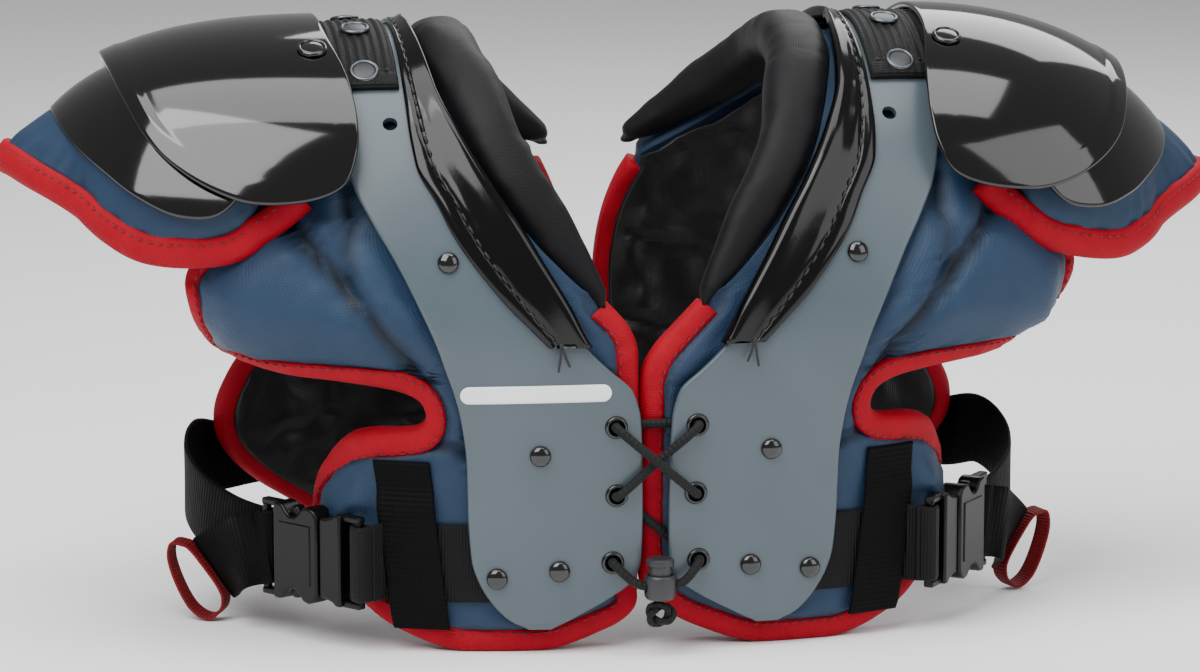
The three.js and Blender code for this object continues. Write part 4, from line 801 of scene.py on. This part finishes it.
plateLook = {
    "edge": 1.2,
    "waves": 0.22,
    "eyeletHole": 3.7,
    "accessoryHole": 3.0,
    "eyelets": [(0.131, 0.687), (0.128, 0.781), (0.139, 0.874)],
    "accessory": (0.81, 0.28),
    "rivets": {"upper": (0.659, 0.472), "middle": (0.373, 0.724), "outer": (0.508, 0.893), "inner": (0.31, 0.884)},
    "grommet": [
        (2.95, -3.3), (2.95, 0.5), (3.2, 0.95), (3.7, 1.15), (4.3, 0.8), (4.7, 0.1), (3.68, 0.05), (3.68, -3.0),
        (3.9, -3.3),
    ],
    "dome": [
        (0.05, 0.1), (4.25, 0.1), (4.3, 0.55), (4.15, 1.15), (3.7, 1.75), (2.9, 2.25), (1.8, 2.65), (0.8, 2.82),
        (0.05, 2.85),
    ],
}


def plateSpots(places, lift=0.0):
    return [
        (bodyPoint(x, run, lift), skinNormal(np.array(x), np.array(run)))
        for x, run in [(across * body["plateReach"], run) for across, run in places]
    ]


def plate(half):
    look, side, mirror, e = plateLook, half["side"], half["mirror"], plateLook["edge"]
    ends = np.linspace(0.95, 0.965, 9)[1:]
    runs = np.concatenate([-ends[::-1], np.linspace(-0.95, 0.95, 300), ends])[:, None]
    inner, outer = plateEdges(runs)
    faceX = inner + e + (outer - inner - 2 * e) * np.linspace(0, 1, 34)[None]
    turns = np.linspace(0, math.pi / 2, 5)[None, 1:]
    away, down = e * np.sin(turns), e * (1 - np.cos(turns))
    foot = 0.8 * smooth(np.abs(runs), 0.955, 0.965)
    along = np.abs(runs) * body["stretch"] + 50
    wave = look["waves"] * ripple2(faceX + 20, along, half["seed"] + 90, 42, 60)
    top = wave * smooth(np.minimum(faceX - inner, outer - faceX), 1, 12) - foot
    low = np.full_like(faceX, -walls["plate"]) + foot
    right, left = outer - e + away, inner + e - away
    over, under = -down - foot, -walls["plate"] + down + foot
    x = np.concatenate([faceX, right, right[:, ::-1], faceX[:, ::-1], left, left[:, ::-1]], 1)
    lift = np.concatenate([top, over, under[:, ::-1], low, under, over[:, ::-1]], 1)
    shift = turns.shape[1]
    rings = bodyPoint(np.roll(x, shift, 1), runs, np.roll(lift, shift, 1))
    made = loft(f"arch_{side}_plate", rings, mirror, finishes["plate"])
    eyelets = plateSpots(look["eyelets"] + [(across, -run) for across, run in look["eyelets"]])
    cutters = []
    for radius, spots in ((look["eyeletHole"], eyelets), (look["accessoryHole"], plateSpots([look["accessory"]]))):
        cutters.append(turnedPieces("cutter", [(radius, -7), (radius, 4)], 40, spots, mirror, None))
    drill(made, cutters)
    dress(made, "plate", f"arch_{side}")
    rims = turnedPieces(f"grommets_{side}", look["grommet"], 36, eyelets, mirror, finishes["grommet"], False)
    dress(rims, "rivet")
    spots = plateSpots(look["rivets"].values())
    domes = turnedPieces(f"rivets_{side}", look["dome"], 36, spots, mirror, finishes["rivet"])
    dress(domes, "rivet", *[f"rivet_{name}_{side}" for name in look["rivets"]])


snapLook = {
    "ring": [(4.5, 0.0), (4.5, 0.9), (4.75, 1.2), (5.2, 1.35), (5.7, 1.1), (6.0, 0.6), (6.05, 0.0)],
    "disc": [(0.05, 0.0), (4.6, 0.0), (4.6, 0.75), (4.0, 0.95), (1.4, 1.1), (0.05, 1.12)],
    "across": 0.873,
    "runs": {"front_low": 0.19, "front_top": 0.066, "back_top": -0.066, "back_low": -0.19},
    "capAlong": 0.512,
    "capTurns": {"front": 27, "back": -27},
}


def snaps(half):
    look, side, mirror = snapLook, half["side"], half["mirror"]
    spots = plateSpots([(look["across"], run) for run in look["runs"].values()], 2.6)
    capSpots = []
    for turn in look["capTurns"].values():
        x, t = np.array(look["capAlong"] * cap["reach"]), np.array(math.radians(turn))
        foot = capPoint(x, t, 0.3, half)
        capSpots.append((foot, unit(capPoint(x, t, 1.3, half) - foot)))
    named = [f"snap_{name}_{side}" for name in look["runs"]]
    named += [f"epaulet_rivet_{name}_{side}" for name in look["capTurns"]]
    for kind, places, ringIn, discIn, nodes in (
        ("snap", spots, "snap", "lock", named), ("cap", capSpots, "rivet", "rivet", []),
    ):
        ring = turnedPieces(f"{kind}_rings_{side}", look["ring"], 40, places, mirror, finishes[ringIn], False)
        dress(ring, "snap", *nodes)
        dress(turnedPieces(f"{kind}_discs_{side}", look["disc"], 36, places, mirror, finishes[discIn]), "snap")


webLook = {
    "inner": 96.8, "outer": 135.4, "span": 0.22, "low": 0.6, "wall": 2.0, "ribs": 11, "ribDepth": 0.7,
    "stitch": (2.4, 1.2, 0.4),
}


def shoulderWeb(half):
    look, span = webLook, webLook["span"]
    end = np.linspace(span - 0.008, span, 6)[1:]
    runs = np.concatenate([-end[::-1], np.linspace(-span + 0.008, span - 0.008, 90), end])[:, None]
    shares = np.linspace(0, 1, 101)[None]
    x = lerp(look["inner"], look["outer"], shares)
    ribs = np.cos(shares * look["ribs"] * 2 * math.pi)
    fold = smooth(np.abs(runs), span - 0.03, span - 0.024)
    ends = smooth(np.abs(runs), span - 0.005, span)
    rounding = smooth(np.minimum(shares, 1 - shares), 0, 0.03)
    top = look["low"] + look["wall"] * (0.35 + 0.65 * rounding) + 0.75 * fold - ends
    top = top - look["ribDepth"] * (0.5 - 0.5 * ribs) * (1 - 0.7 * fold)
    cover(half, "shoulder_web", "weave", faceAndBack(x, runs, top, look["low"] - 0.2 + 0 * top), "belt", "webbing")
    across = np.linspace(look["inner"] + 1.5, look["outer"] - 1.5, 60)
    for sign, place in ((-1, "back"), (1, "front")):
        at = np.full_like(across, sign * (span - 0.033))
        line, normal = bodyPoint(across, at, look["low"] + look["wall"] - 0.05), skinNormal(across, at)
        stitches(half, f"web_stitches_{half['side']}_{place}", line, normal, "thread", "webbing", *look["stitch"])


# The shoulder caps

cap = {
    "start": 120, "reach": 255, "padReach": 262, "depth": 92, "top": 250, "drop": 85, "fall": 88,
    "flareStart": 233, "flare": 16,
}
epauletEdge = [  # along as a share of the reach, turn in degrees from the crest
    (0.486, 0), (0.482, 20), (0.462, 40), (0.456, 54), (0.463, 64), (0.487, 72), (0.525, 75), (0.575, 76),
    (0.63, 75), (0.68, 71), (0.73, 64), (0.78, 52), (0.813, 34), (0.828, 17), (0.833, 0),
]
cupEdge = [
    (0.64, 0), (0.63, 34), (0.63, 60), (0.65, 72), (0.69, 77), (0.745, 75), (0.81, 66), (0.86, 54),
    (0.9, 40), (0.925, 22), (0.932, 0),
]
capPadEdge = [
    (0.6, 0), (0.6, 30), (0.604, 56), (0.614, 72), (0.628, 79), (0.65, 83), (0.68, 85), (0.74, 84),
    (0.81, 79), (0.87, 69), (0.92, 55), (0.96, 36), (0.98, 18), (0.988, 0),
]


def capSkin(x, turn, reach, hang):
    x, turn = np.broadcast_arrays(np.asarray(x, float), np.asarray(turn, float))
    t = np.clip((x - cap["start"]) / (reach - cap["start"]), 0, 0.9995)
    fall = cap["fall"] * (1 - (1 - t**2.6) ** (1 / 2.6))
    depth = cap["depth"] * (1 - t**2.4) ** (1 / 2.4)
    down = hang * np.maximum(0, (x - cap["start"]) / (cap["reach"] - cap["start"])) ** 2
    z = cap["top"] - fall - down - cap["drop"] * (1 - np.cos(turn))
    return np.stack([x, -depth * np.sin(turn), z], -1)


def capPoint(x, turn, lift, half, padded=False):
    reach, hang = (cap["padReach"] if padded else cap["reach"]), half["capHang"]
    x, turn, lift = np.broadcast_arrays(np.asarray(x, float), np.asarray(turn, float), np.asarray(lift, float))
    step, lean = (7.0, 0.1) if padded else (0.4, 0.01)  # the soft pad bends more gently than its shell
    alongX = capSkin(x + step, turn, reach, hang) - capSkin(x - step, turn, reach, hang)
    alongTurn = capSkin(x, turn + lean, reach, hang) - capSkin(x, turn - lean, reach, hang)
    point = capSkin(x, turn, reach, hang) + unit(np.cross(alongTurn, alongX)) * lift[..., None]
    if padded:
        point[..., 0] += cap["flare"] * smooth(x, cap["flareStart"], cap["reach"])
    return point


def capRim(edge, count):
    knots = [(a, t / 100) for a, t in edge] + [(a, -t / 100) for a, t in edge[1:-1]][::-1]
    return evenly(catmull(knots, 16, True), count, True)


def capLayer(half, node, ending, edge, section, finish, slotName, count=260, extra=None, fill=None):
    padded = fill is not None
    rim = capRim(edge, count)
    middle = (edge[0][0] + edge[-1][0]) / 2
    centre = capPoint(middle * cap["reach"], 0.0, -10, half, padded)
    rimAt = capPoint(rim[:, 0] * cap["reach"], np.radians(rim[:, 1] * 100), -10, half, padded)
    reach, steps = np.linalg.norm(rimAt - centre, axis=-1), lengths(rimAt)
    rings = []
    for share, inward, lift in section:
        at = np.maximum(share - inward / reach, 0)
        x = lerp(middle, rim[:, 0], at) * cap["reach"]
        more = extra((1 - at) * reach, steps, rim[:, 0], lift) if extra else 0
        rings.append(capPoint(x, np.radians(rim[:, 1] * 100 * at), lift + more, half, padded))
    points = np.stack(rings)
    end = len(section) * count
    faces = ringFaces(len(section), count)
    for i in range(count):  # fans close the middle of the top and of the underside
        j = (i + 1) % count
        faces += [(end, j, i), (end + 1, end - count + i, end - count + j)]
    points = np.concatenate([points.reshape(-1, 3), points[0].mean(0)[None], points[-1].mean(0)[None]])
    name = f"{node}_{half['side']}"
    piece = closedMesh(f"{name}_{ending}", points, faces, half["mirror"], finishes[finish])
    dress(piece, slotName, name)


def dishSection(top, wall, edge, inner=26):
    shares = np.linspace(0.04, 1, inner)
    section = [(s, 14 * s, top) for s in shares]
    section += [(1, w, top) for w in (12.5, 11, 10, 9.2, 8.4, 7.6, 6.8, 6, 5.2, 4, 2.8, 2)]
    for t in np.linspace(0.15, math.pi - 0.15, 9):
        section.append((1, edge * (1 - math.sin(t)), top - wall / 2 + wall / 2 * math.cos(t)))
    section += [(1, w, top - wall) for w in (2.5, 6, 14)]
    return section + [(s, 14 * s, top - wall) for s in shares[::-1][1:]]


epauletLook = {"lip": 0.5, "lipWidth": 10.4, "wall": 2.6, "edge": 1.3}
cupLook = {"step": 6.2, "wall": 2.6, "edge": 1.3}


def epaulet(half):
    look = epauletLook

    def lip(away, s, along, lift):
        raised = look["lip"] * smooth(along, 0.52, 0.78) * (lift > -0.5)
        return raised * (1 - smooth(away, look["lipWidth"] - 4, look["lipWidth"]))

    section = dishSection(0, look["wall"], look["edge"])
    capLayer(half, "epaulet", "shell", epauletEdge, section, "cap", "cap_shell", extra=lip)


def cup(half):
    section = dishSection(-cupLook["step"], cupLook["wall"], cupLook["edge"])
    capLayer(half, "cup", "shell", cupEdge, section, "cap", "cap_shell")


capPadLook = {"step": 15.8, "wall": 10.5, "bulge": 4.2, "pucker": 0.8, "slack": 0.7, "fill": 0.6}


def capPad(half):
    look, seed = capPadLook, half["seed"] + 120
    top, bottom = -look["step"], -look["step"] - look["wall"]

    def soft(away, s, along, lift):
        if lift < (top + bottom) / 2:
            return 1.2 * (1 - smooth(away, 0, 8))
        rise = look["bulge"] * smooth(away, 2, 22) - 1.3 * (1 - smooth(away, 0, 7))
        rise = rise + look["pucker"] * ripple(s, seed, 5) * np.exp(-np.maximum(away - 3, 0) / 7)
        return rise + look["slack"] * ripple2(s + 10, away + 50, seed + 1, 24, 18) * smooth(away, 3, 12)

    shares = np.linspace(0.04, 1, 18)
    section = [(s, 18 * s, top) for s in shares]
    section += [(1, w, top) for w in (16, 14, 12, 10, 8.5, 7, 5.5, 4, 2.5, 1)]
    section += [(1, w, bottom) for w in (1, 4, 8, 13)]
    section += [(s, 18 * s, bottom) for s in shares[::-1]]
    capLayer(half, "cap_pad", "soft", capPadEdge, section, "pad", "pad_fabric", 300, soft, look["fill"])


capTapeLook = {
    "section": [  # half of it: out from the pad's rim, and up
        (-2.6, 4.9), (-0.6, 5.35), (1.6, 5.5), (3.8, 5.25), (5.8, 4.6), (7.5, 3.5), (8.9, 2.0), (9.5, 0.5),
    ],
    "pucker": 0.35,
    "wave": 0.4,
    "tuck": 3.0,
}


def capTape(half):
    look, seed = capTapeLook, half["seed"] + 140
    coarse = evenly(catmull([(a, t / 100) for a, t in capPadEdge], 16), 17)
    first = coarse[np.argmax(coarse[:, 1] * 100 > 76)]
    count = 900
    rim = capRim(capPadEdge, count)
    start = np.argmin(np.linalg.norm(rim[: count // 2] - first, axis=-1))
    path = rim[start : count - start + 1][::2]
    x, turn = path[:, 0] * cap["reach"], np.radians(path[:, 1] * 100)
    at = capPoint(x, turn, -capPadLook["step"] - capPadLook["wall"] / 2, half, True)
    up = unit(capPoint(x, turn, -capPadLook["step"], half, True) - at)
    for _ in range(2):  # each end runs on under the epaulet
        way = unit(at[-1] - at[-9])
        more = [at[-1] + way * k * 3 + np.array([0, 0, look["tuck"] * (k / 7) ** 2]) for k in range(1, 8)]
        at, up = np.concatenate([at, more])[::-1], np.concatenate([up, np.repeat(up[-1:], 7, 0)])[::-1]
    along = unit(blurred(np.gradient(at, axis=0), 3))
    out = unit(np.cross(along, up))
    out = out * np.sign(((at - capPoint(180.0, 0.0, -26, half, True)) * out).sum(-1))[:, None]
    s = lengths(at)
    rings = []
    for w, h in look["section"] + [(w, -h) for w, h in look["section"][::-1]]:
        wave, pucker = look["wave"] * ripple(s, seed, 8), look["pucker"] * ripple(s, seed + 1, 5) * (w < 8)
        wide = w + (wave if w < 0 else pucker)
        tall = h + look["pucker"] * ripple(s, seed + 2, 5.5) * np.sign(h) * (abs(h) > 3)
        rings.append(at + out * wide[:, None] + up * tall[:, None])
    cover(half, "cap_binding", "tape", np.stack(rings, 1), "tape", "edge_tape")
    line = at + out * 0.4 + up * 5.55
    stitches(half, f"cap_stitches_{half['side']}", line, up, "redThread", "edge_tape", *tapeLook["stitch"])


# Webbing, buckles and pull loops


def heading(line, closed):  # the way a line runs at each of its points
    return unit(np.roll(line, -1, 0) - np.roll(line, 1, 0) if closed else np.gradient(line, axis=0))


def band(one, two, wall, closed=False, columns=9):  # rings of flat webbing between two edges
    wide = unit(two - one)
    thick = unit(np.cross(heading((one + two) / 2, closed), wide))
    shares = [0.0, 0.02, *np.linspace(0.06, 0.94, columns), 0.98, 1.0]
    tall = wall / 2 * np.array([0.35, 0.85, *[1.0] * columns, 0.85, 0.35])
    rings = [one + (two - one) * share + thick * h for share, h in zip(shares, tall)]
    rings += [one + (two - one) * share - thick * h for share, h in zip(shares[::-1], tall)]
    return np.stack(rings, 1)


def ribbon(spots, width, wall, closed=False):
    centres, ups = [catmull([spot[k] for spot in spots], 14, closed) for k in (0, 1)]
    along = heading(centres, closed)
    wide = unit(ups - along * (ups * along).sum(-1, keepdims=True))
    return band(centres + wide * width / 2, centres - wide * width / 2, wall, closed)


strapLook = {
    "width": 32.0, "height": 37.0, "wall": 1.8, "keeperWidth": 22.5, "keeperWall": 1.6, "strapWidth": 30,
    "beltReach": (50, 111),
    "plugWrap": [  # along and out from the bar
        (-3.5, 2.7), (0, 2.9), (2.6, 1.6), (2.9, -0.4), (1.8, -2.3), (-1.5, -2.9), (-6, -2.9),
    ],
    "keeperHeights": (78, 10),
    "keeperPlaces": (102.5, 94),
    "onBack": np.array([79, 95, 112, 130, 146, 160.0]),
    "roundSide": [(170, 58, 57), (176, 34, 51), (172, 8, 44), (162, -12, 39)],
    "ladderWrap": [  # along, up and out from the bar
        (9, 0, -3.4), (1, 0, -3.4), (-3, 0, -2.5), (-4.2, 0, 0), (-3, 0, 2.5), (1, -1, 3.4), (9, -3, 5.9),
    ],
    "strapEnd": np.array([169, -7, 22.0]),
    "endTilt": unit(np.array([0.55, 0.28, 0.75])),
}
buckle = {
    "along": np.array([0.61, 0.79, 0.0]) / math.hypot(0.61, 0.79),
    "out": np.array([0.79, -0.61, 0.0]) / math.hypot(0.61, 0.79),
    "middle": np.array([134.5, -54.5, 37.0]),
    "ladderBar": 25.0,
    "plugBar": -27.8,
}


def buckleSpot(along, up, out):
    return buckle["middle"] + buckle["along"] * along + buckle["out"] * out + np.array([0, 0, up])


def belt(half):
    look, edge, bar = strapLook, strapLook["width"] / 2, buckle["plugBar"]
    x = np.linspace(*look["beltReach"], 60)[::4]
    edges = []
    for sign in (1, -1):
        run = runAt(look["height"] + sign * edge)
        around = [buckleSpot(bar + a, sign * (edge - 0.6), o) for a, o in look["plugWrap"]]
        edges.append(catmull(np.concatenate([bodyPoint(x, run, beltTop - look["wall"] / 2), around]), 8))
    cover(half, "belt", "weave", band(*edges, look["wall"]), "belt", "webbing")


def keeper(half):
    look, edge = strapLook, strapLook["keeperWidth"] / 2
    share = np.linspace(0, 1, 70)
    height, middle = lerp(*look["keeperHeights"], share), lerp(*look["keeperPlaces"], share)
    over = beltTop + 2 * walls["gap"] + look["keeperWall"]
    clear = np.abs(height - look["height"]) - look["width"] / 2
    lift = over - (look["wall"] + walls["gap"]) * smooth(clear, 5, 16) - look["keeperWall"] / 2
    lift = lift + 0.35 * ripple(share * 68, half["seed"] + 160, 11)
    one, two = [bodyPoint(middle + sign * edge, runAt(height), lift) for sign in (-1, 1)]
    cover(half, "keeper", "weave", band(one, two, look["keeperWall"], columns=11), "webbing", "webbing")


def sideStrap(half):
    look = strapLook
    run = -runAt(padLook["strapHeight"])
    at = list(bodyPoint(look["onBack"], run, beltTop + 2 * walls["gap"] - walls["webbing"] / 2))
    at += [np.array(p, float) for p in look["roundSide"]]
    at += [buckleSpot(buckle["ladderBar"] + a, u, o) for a, u, o in look["ladderWrap"]]
    spots = [(p, np.array([0, 0, 1.0])) for p in at] + [(look["strapEnd"], look["endTilt"])]
    cover(half, "side_strap", "weave", ribbon(spots, look["strapWidth"], look["wall"]), "webbing", "webbing")


pullLook = {
    "width": 8,
    "wall": 1.3,
    "places": [  # across and down from the end of the side strap
        (11, -0.5), (14, 1), (19, 5), (18, 10), (7.7, 15.5), (-2.8, 16.5), (-11.2, 12.5), (-15, 5), (-14, 1),
        (-11, -0.5), (0, -1.2),
    ],
}


def pullLoop(half):
    look, wide = pullLook, strapLook["endTilt"]
    down, across = unit(np.array([0.35, 0.1, -0.93])), unit(np.array([-0.45, 0.85, 0.1]))
    start = strapLook["strapEnd"] + buckle["along"] * 3.4 + buckle["out"] * 1.4
    spots = [(start + wide * w + down * d, across) for w, d in look["places"]]
    cover(half, "pull_loop", "ribbon", ribbon(spots, look["width"], look["wall"], True), "pull", "pull_tape", True)


buckleLook = {
    "bevel": 1.1,
    "socket": [  # half of the outline, from the mouth to the strap's end: along, up
        (-8, 15.5), (-6.5, 18.6), (-3, 20), (0, 19.4), (2.2, 17), (4.6, 15.2), (7.4, 15.2), (9.6, 17),
        (11.4, 19.3), (14, 20), (17, 20),
    ],
    "panel": [(-4.5, 12.5), (13.5, 12.5)],
    "plug": [(-20.3, 19), (-17.5, 19), (-15.5, 17.6), (-12, 16.6), (-8.3, 16.6)],
    "arm": [(-9, 9.6), (2, 12.4), (3, 15.6), (5.6, 19.2), (8.6, 19.2), (9.6, 14.6), (5, 11.4), (-9, 7.4)],
}


def slab(half, name, outline, low, high, bevel, *nodes):  # an outline in the buckle's plane, given depth
    points = [buckleSpot(a, u, o) for o in (low, high) for a, u in outline]
    count = len(outline)
    faces = [tuple(range(count)), tuple(range(2 * count - 1, count - 1, -1))]
    faces += [(i, i + count, (i + 1) % count + count, (i + 1) % count) for i in range(count)]
    piece = closedMesh(name, points, faces, half["mirror"], finishes["buckle"])
    made = piece.modifiers.new("edges", "BEVEL")
    made.width = bevel * 0.001
    made.segments = 4
    made.limit_method = "ANGLE"
    made.angle_limit = 0.9
    piece.data.set_sharp_from_angle(angle=0.9)
    dress(piece, "buckle", *nodes)


def bothSides(outline):
    return outline + [(a, -u) for a, u in outline[::-1]]


def strapFrame(half, name, start, end, wide, bar):  # two rails and a bar for a strap to pass
    for sign, place in ((-1, "low"), (1, "high")):
        near, far = sign * (wide - 2.8), sign * wide
        rail = [(start, near), (end, near), (end, far), (start, far)]
        slab(half, f"{name}_rail_{place}", rail, -2.1, 2.1, 0.8)
    reach = wide - 1
    outline = [(bar - 1.5, -reach), (bar + 1.5, -reach), (bar + 1.5, reach), (bar - 1.5, reach)]
    slab(half, f"{name}_bar_0", outline, -1.6, 1.6, 0.9)


def buckles(half):
    look, side = buckleLook, half["side"]
    slab(half, f"socket_{side}", bothSides(look["socket"]), -5, 5, look["bevel"], f"buckle_socket_{side}")
    slab(half, f"socket_panel_{side}", bothSides(look["panel"]), 4.6, 5.5, 0.7)
    strapFrame(half, f"ladder_{side}", 16, 26.5, 20, buckle["ladderBar"])
    slab(half, f"plug_{side}", bothSides(look["plug"]), -3.9, 3.9, look["bevel"], f"buckle_plug_{side}")
    strapFrame(half, f"plug_{side}", -29.3, -19.5, 19, buckle["plugBar"])
    for sign, place in ((-1, "low"), (1, "high")):
        slab(half, f"arm_{side}_{place}", [(a, sign * u) for a, u in look["arm"]], -2.4, 2.4, 1.0)


# The laces and the cord lock

laceLook = {
    "radius": 1.85,
    "out": 2.25,
    "knotRadius": 1.3,
    "knotReach": 3.4,
    "knotSwing": 1.1,
    "knotWide": 1.25,
    "knotDeep": 1.6,
    "knotDrop": 6.3,
}
lockLook = {
    "x": 0.5,
    "z": 23.5,
    "cordHole": 2.9,
    "slot": 2.15,
    "shell": [
        (0.05, 0), (5.0, 0), (5.6, 0.25), (6.2, 1.2), (6.4, 2.2), (6.4, 8.6), (6.25, 9.3), (5.8, 9.85), (5.2, 10),
        (4.95, 9.7), (4.9, 9.2), (4.9, 1.6), (0.05, 1.6),
    ],
    "button": [
        (0.05, 5.4), (4.4, 5.4), (4.5, 5.6), (4.5, 13.8), (5.4, 13.85), (5.6, 14.1), (5.6, 15.7), (5.4, 16.3),
        (4.8, 16.75), (4.2, 16.8), (3.4, 16.45), (1.6, 16.15), (0.05, 16.1),
    ],
}


def lacePath(face):
    eyelets = plateLook["eyelets"]
    outLift, inLift = laceLook["out"], beltTop - laceLook["radius"] + 0.6

    def hole(side, row, outward):
        across, run = eyelets[row]
        stops = [(side * across * body["plateReach"], run, lift) for lift in (outLift, -1.5, inLift)]
        return stops[::-1] if outward else stops

    def middle(a, b, lift):
        return (0.0, (eyelets[a][1] + eyelets[b][1]) / 2, lift)

    stops = hole(1, 2, False) + [middle(2, 1, inLift)] + hole(-1, 1, True) + [middle(1, 0, outLift)]
    stops += hole(1, 0, False) + [middle(0, 0, inLift)] + hole(-1, 0, True)
    stops += [middle(0, 1, outLift + 4.0)] + hole(1, 1, False) + [middle(1, 2, inLift - 4.0)] + hole(-1, 2, True)
    return [bodyPoint(x, face * run, lift) for x, run, lift in stops]


def laces():
    look, lock = laceLook, lockLook
    y = float(bodyPoint(0.0, runAt(28.5), 0.0)[1]) - 7.6
    inLock = [np.array(p) for p in ((-9.5, y + 0.8, 30.3), (-4, y, 28.7), (5, y, 28.7), (10.5, y + 0.8, 30.3))]
    front = lacePath(1) + inLock
    back = lacePath(-1) + [bodyPoint(0.0, -0.884, look["out"])]
    for name, knots in (("front_lace", front), ("back_lace", back)):
        tube(f"{name}_cord", knots, look["radius"], 14, 900, 1, "cord", "cord", (name,), True)
    knot = []
    for t in np.arange(16) / 16 * 2 * math.pi:
        reach = look["knotReach"] + look["knotSwing"] * math.cos(3 * t)
        x, z = look["knotWide"] * reach * math.cos(2 * t), reach * math.sin(2 * t) - look["knotDrop"]
        knot.append((lock["x"] + x, y + look["knotDeep"] * math.sin(3 * t), lock["z"] + z))
    tube("lace_knot_cord", knot, look["knotRadius"], 12, 260, 1, "cord", "cord", ("lace_knot",), True)
    foot, up, sideways = np.array([lock["x"], y, lock["z"]]), np.array([0, 0, 1.0]), np.array([1.0, 0, 0])
    for name, profile, radius, height, node, rides in (
        ("cord_lock_shell", lock["shell"], lock["cordHole"], 5.2, "cord_lock", "pad"),
        ("lock_button_head", lock["button"], lock["slot"], 6.9, "lock_button", "button"),
    ):
        made = turnedPieces(name, profile, 48, [(foot, up)], 1, finishes["lock"])
        across = [(foot + [0, 0, height], sideways)]
        drill(made, [turnedPieces("cutter", [(radius, -12), (radius, 12)], 32, across, 1, None)])
        dress(made, "lock", node, rides=rides)


labelLook = {"from": 18.5, "to": 79.0, "run": 0.639, "tall": 7.0, "lift": 0.22}


def label(half):
    look, r = labelLook, labelLook["tall"] / 2
    t = np.linspace(0, math.pi, 26)[:, None]
    start, end = look["from"] + r, look["to"] - r
    straight = np.linspace(start, end, 30)[1:-1, None]
    x = np.concatenate([start - r * np.cos(t[:13]), straight, end - r * np.cos(t[13:])])
    high = np.concatenate([r * np.sin(t[:13]), np.full((28, 1), r), r * np.sin(t[13:])])
    shares = np.linspace(-1, 1, 9)[None]
    run = look["run"] + high * shares / body["stretch"]
    rings = faceAndBack(x, run, look["lift"] - 0.12 * np.abs(shares) ** 8, -0.3)
    dress(loft("label_patch", rings, half["mirror"], finishes["label"]), "plate")


stages = {
    "fabric": (bodyPad, lining, tape, collarRoll, neckStrip),
    "plates": (plate, snaps, shoulderWeb),
    "caps": (epaulet, cup, capPad, capTape),
    "straps": (belt, keeper, sideStrap, pullLoop, buckles),
}
for half in halves:
    half["edge"] = edgeOf(half)
    for stage, makers in stages.items():
        for make in makers:
            make(half)
        print(stage, "made:", half["side"])
laces()
label(halves[0])
print("laces, lock and label made")


# Camera, light and floor

studio = {
    "target": (-0.006, 0.0, 0.113),
    "azimuth": -10,
    "elevation": 10,
    "distance": 2.2,
    "lens": 158.4,
    "floor": srgb(248, 249, 250),
    "world": 0.36,
    "lightTarget": (0, 0, 0.12),
    "lights": {  # azimuth, elevation, distance, width, height, power
        "key": (-42, 48, 1.5, 1.1, 1.1, 26.0),
        "fill": (48, 26, 1.7, 1.0, 1.2, 10.0),
        "overhead": (-10, 82, 1.4, 1.6, 0.7, 17.0),
        "rim": (150, 40, 1.7, 1.2, 0.8, 13.0),
    },
}


def aim(thing, azimuth, elevation, distance, target):
    a, e = math.radians(azimuth), math.radians(elevation)
    back = Vector((math.sin(a) * math.cos(e), -math.cos(a) * math.cos(e), math.sin(e)))
    thing.location = Vector(target) + back * distance
    thing.rotation_euler = back.to_track_quat("Z", "Y").to_euler()
    bpy.context.scene.collection.objects.link(thing)


camera = bpy.data.objects.new("camera", bpy.data.cameras.new("camera"))
camera.data.lens = studio["lens"]
camera.data.sensor_width = 36
aim(camera, studio["azimuth"], studio["elevation"], studio["distance"], studio["target"])
bpy.context.scene.camera = camera

for name, (azimuth, elevation, distance, width, height, power) in studio["lights"].items():
    lamp = bpy.data.lights.new(name, "AREA")
    lamp.shape = "RECTANGLE"
    lamp.size, lamp.size_y, lamp.energy = width, height, power
    aim(bpy.data.objects.new(name, lamp), azimuth, elevation, distance, studio["lightTarget"])

world = bpy.data.worlds.new("studio")
world.use_nodes = True
world.node_tree.nodes["Background"].inputs["Color"].default_value = (1, 1, 1, 1)
world.node_tree.nodes["Background"].inputs["Strength"].default_value = studio["world"]
bpy.context.scene.world = world

floorFinish = Finish("paleFloor", 0.7)
floorFinish.colour(floorFinish.mix(floorFinish.noise(3, 2.0), studio["floor"], srgb(250, 251, 252)))
floorFinish.rough(floorFinish.noise(8, 2.0), 0.62, 0.76)
corners = [(-6000, -6000, 0), (6000, -6000, 0), (6000, 9000, 0), (-6000, 9000, 0)]
floor = makeMesh("floor", corners, [(0, 1, 2, 3)], material=floorFinish.material)
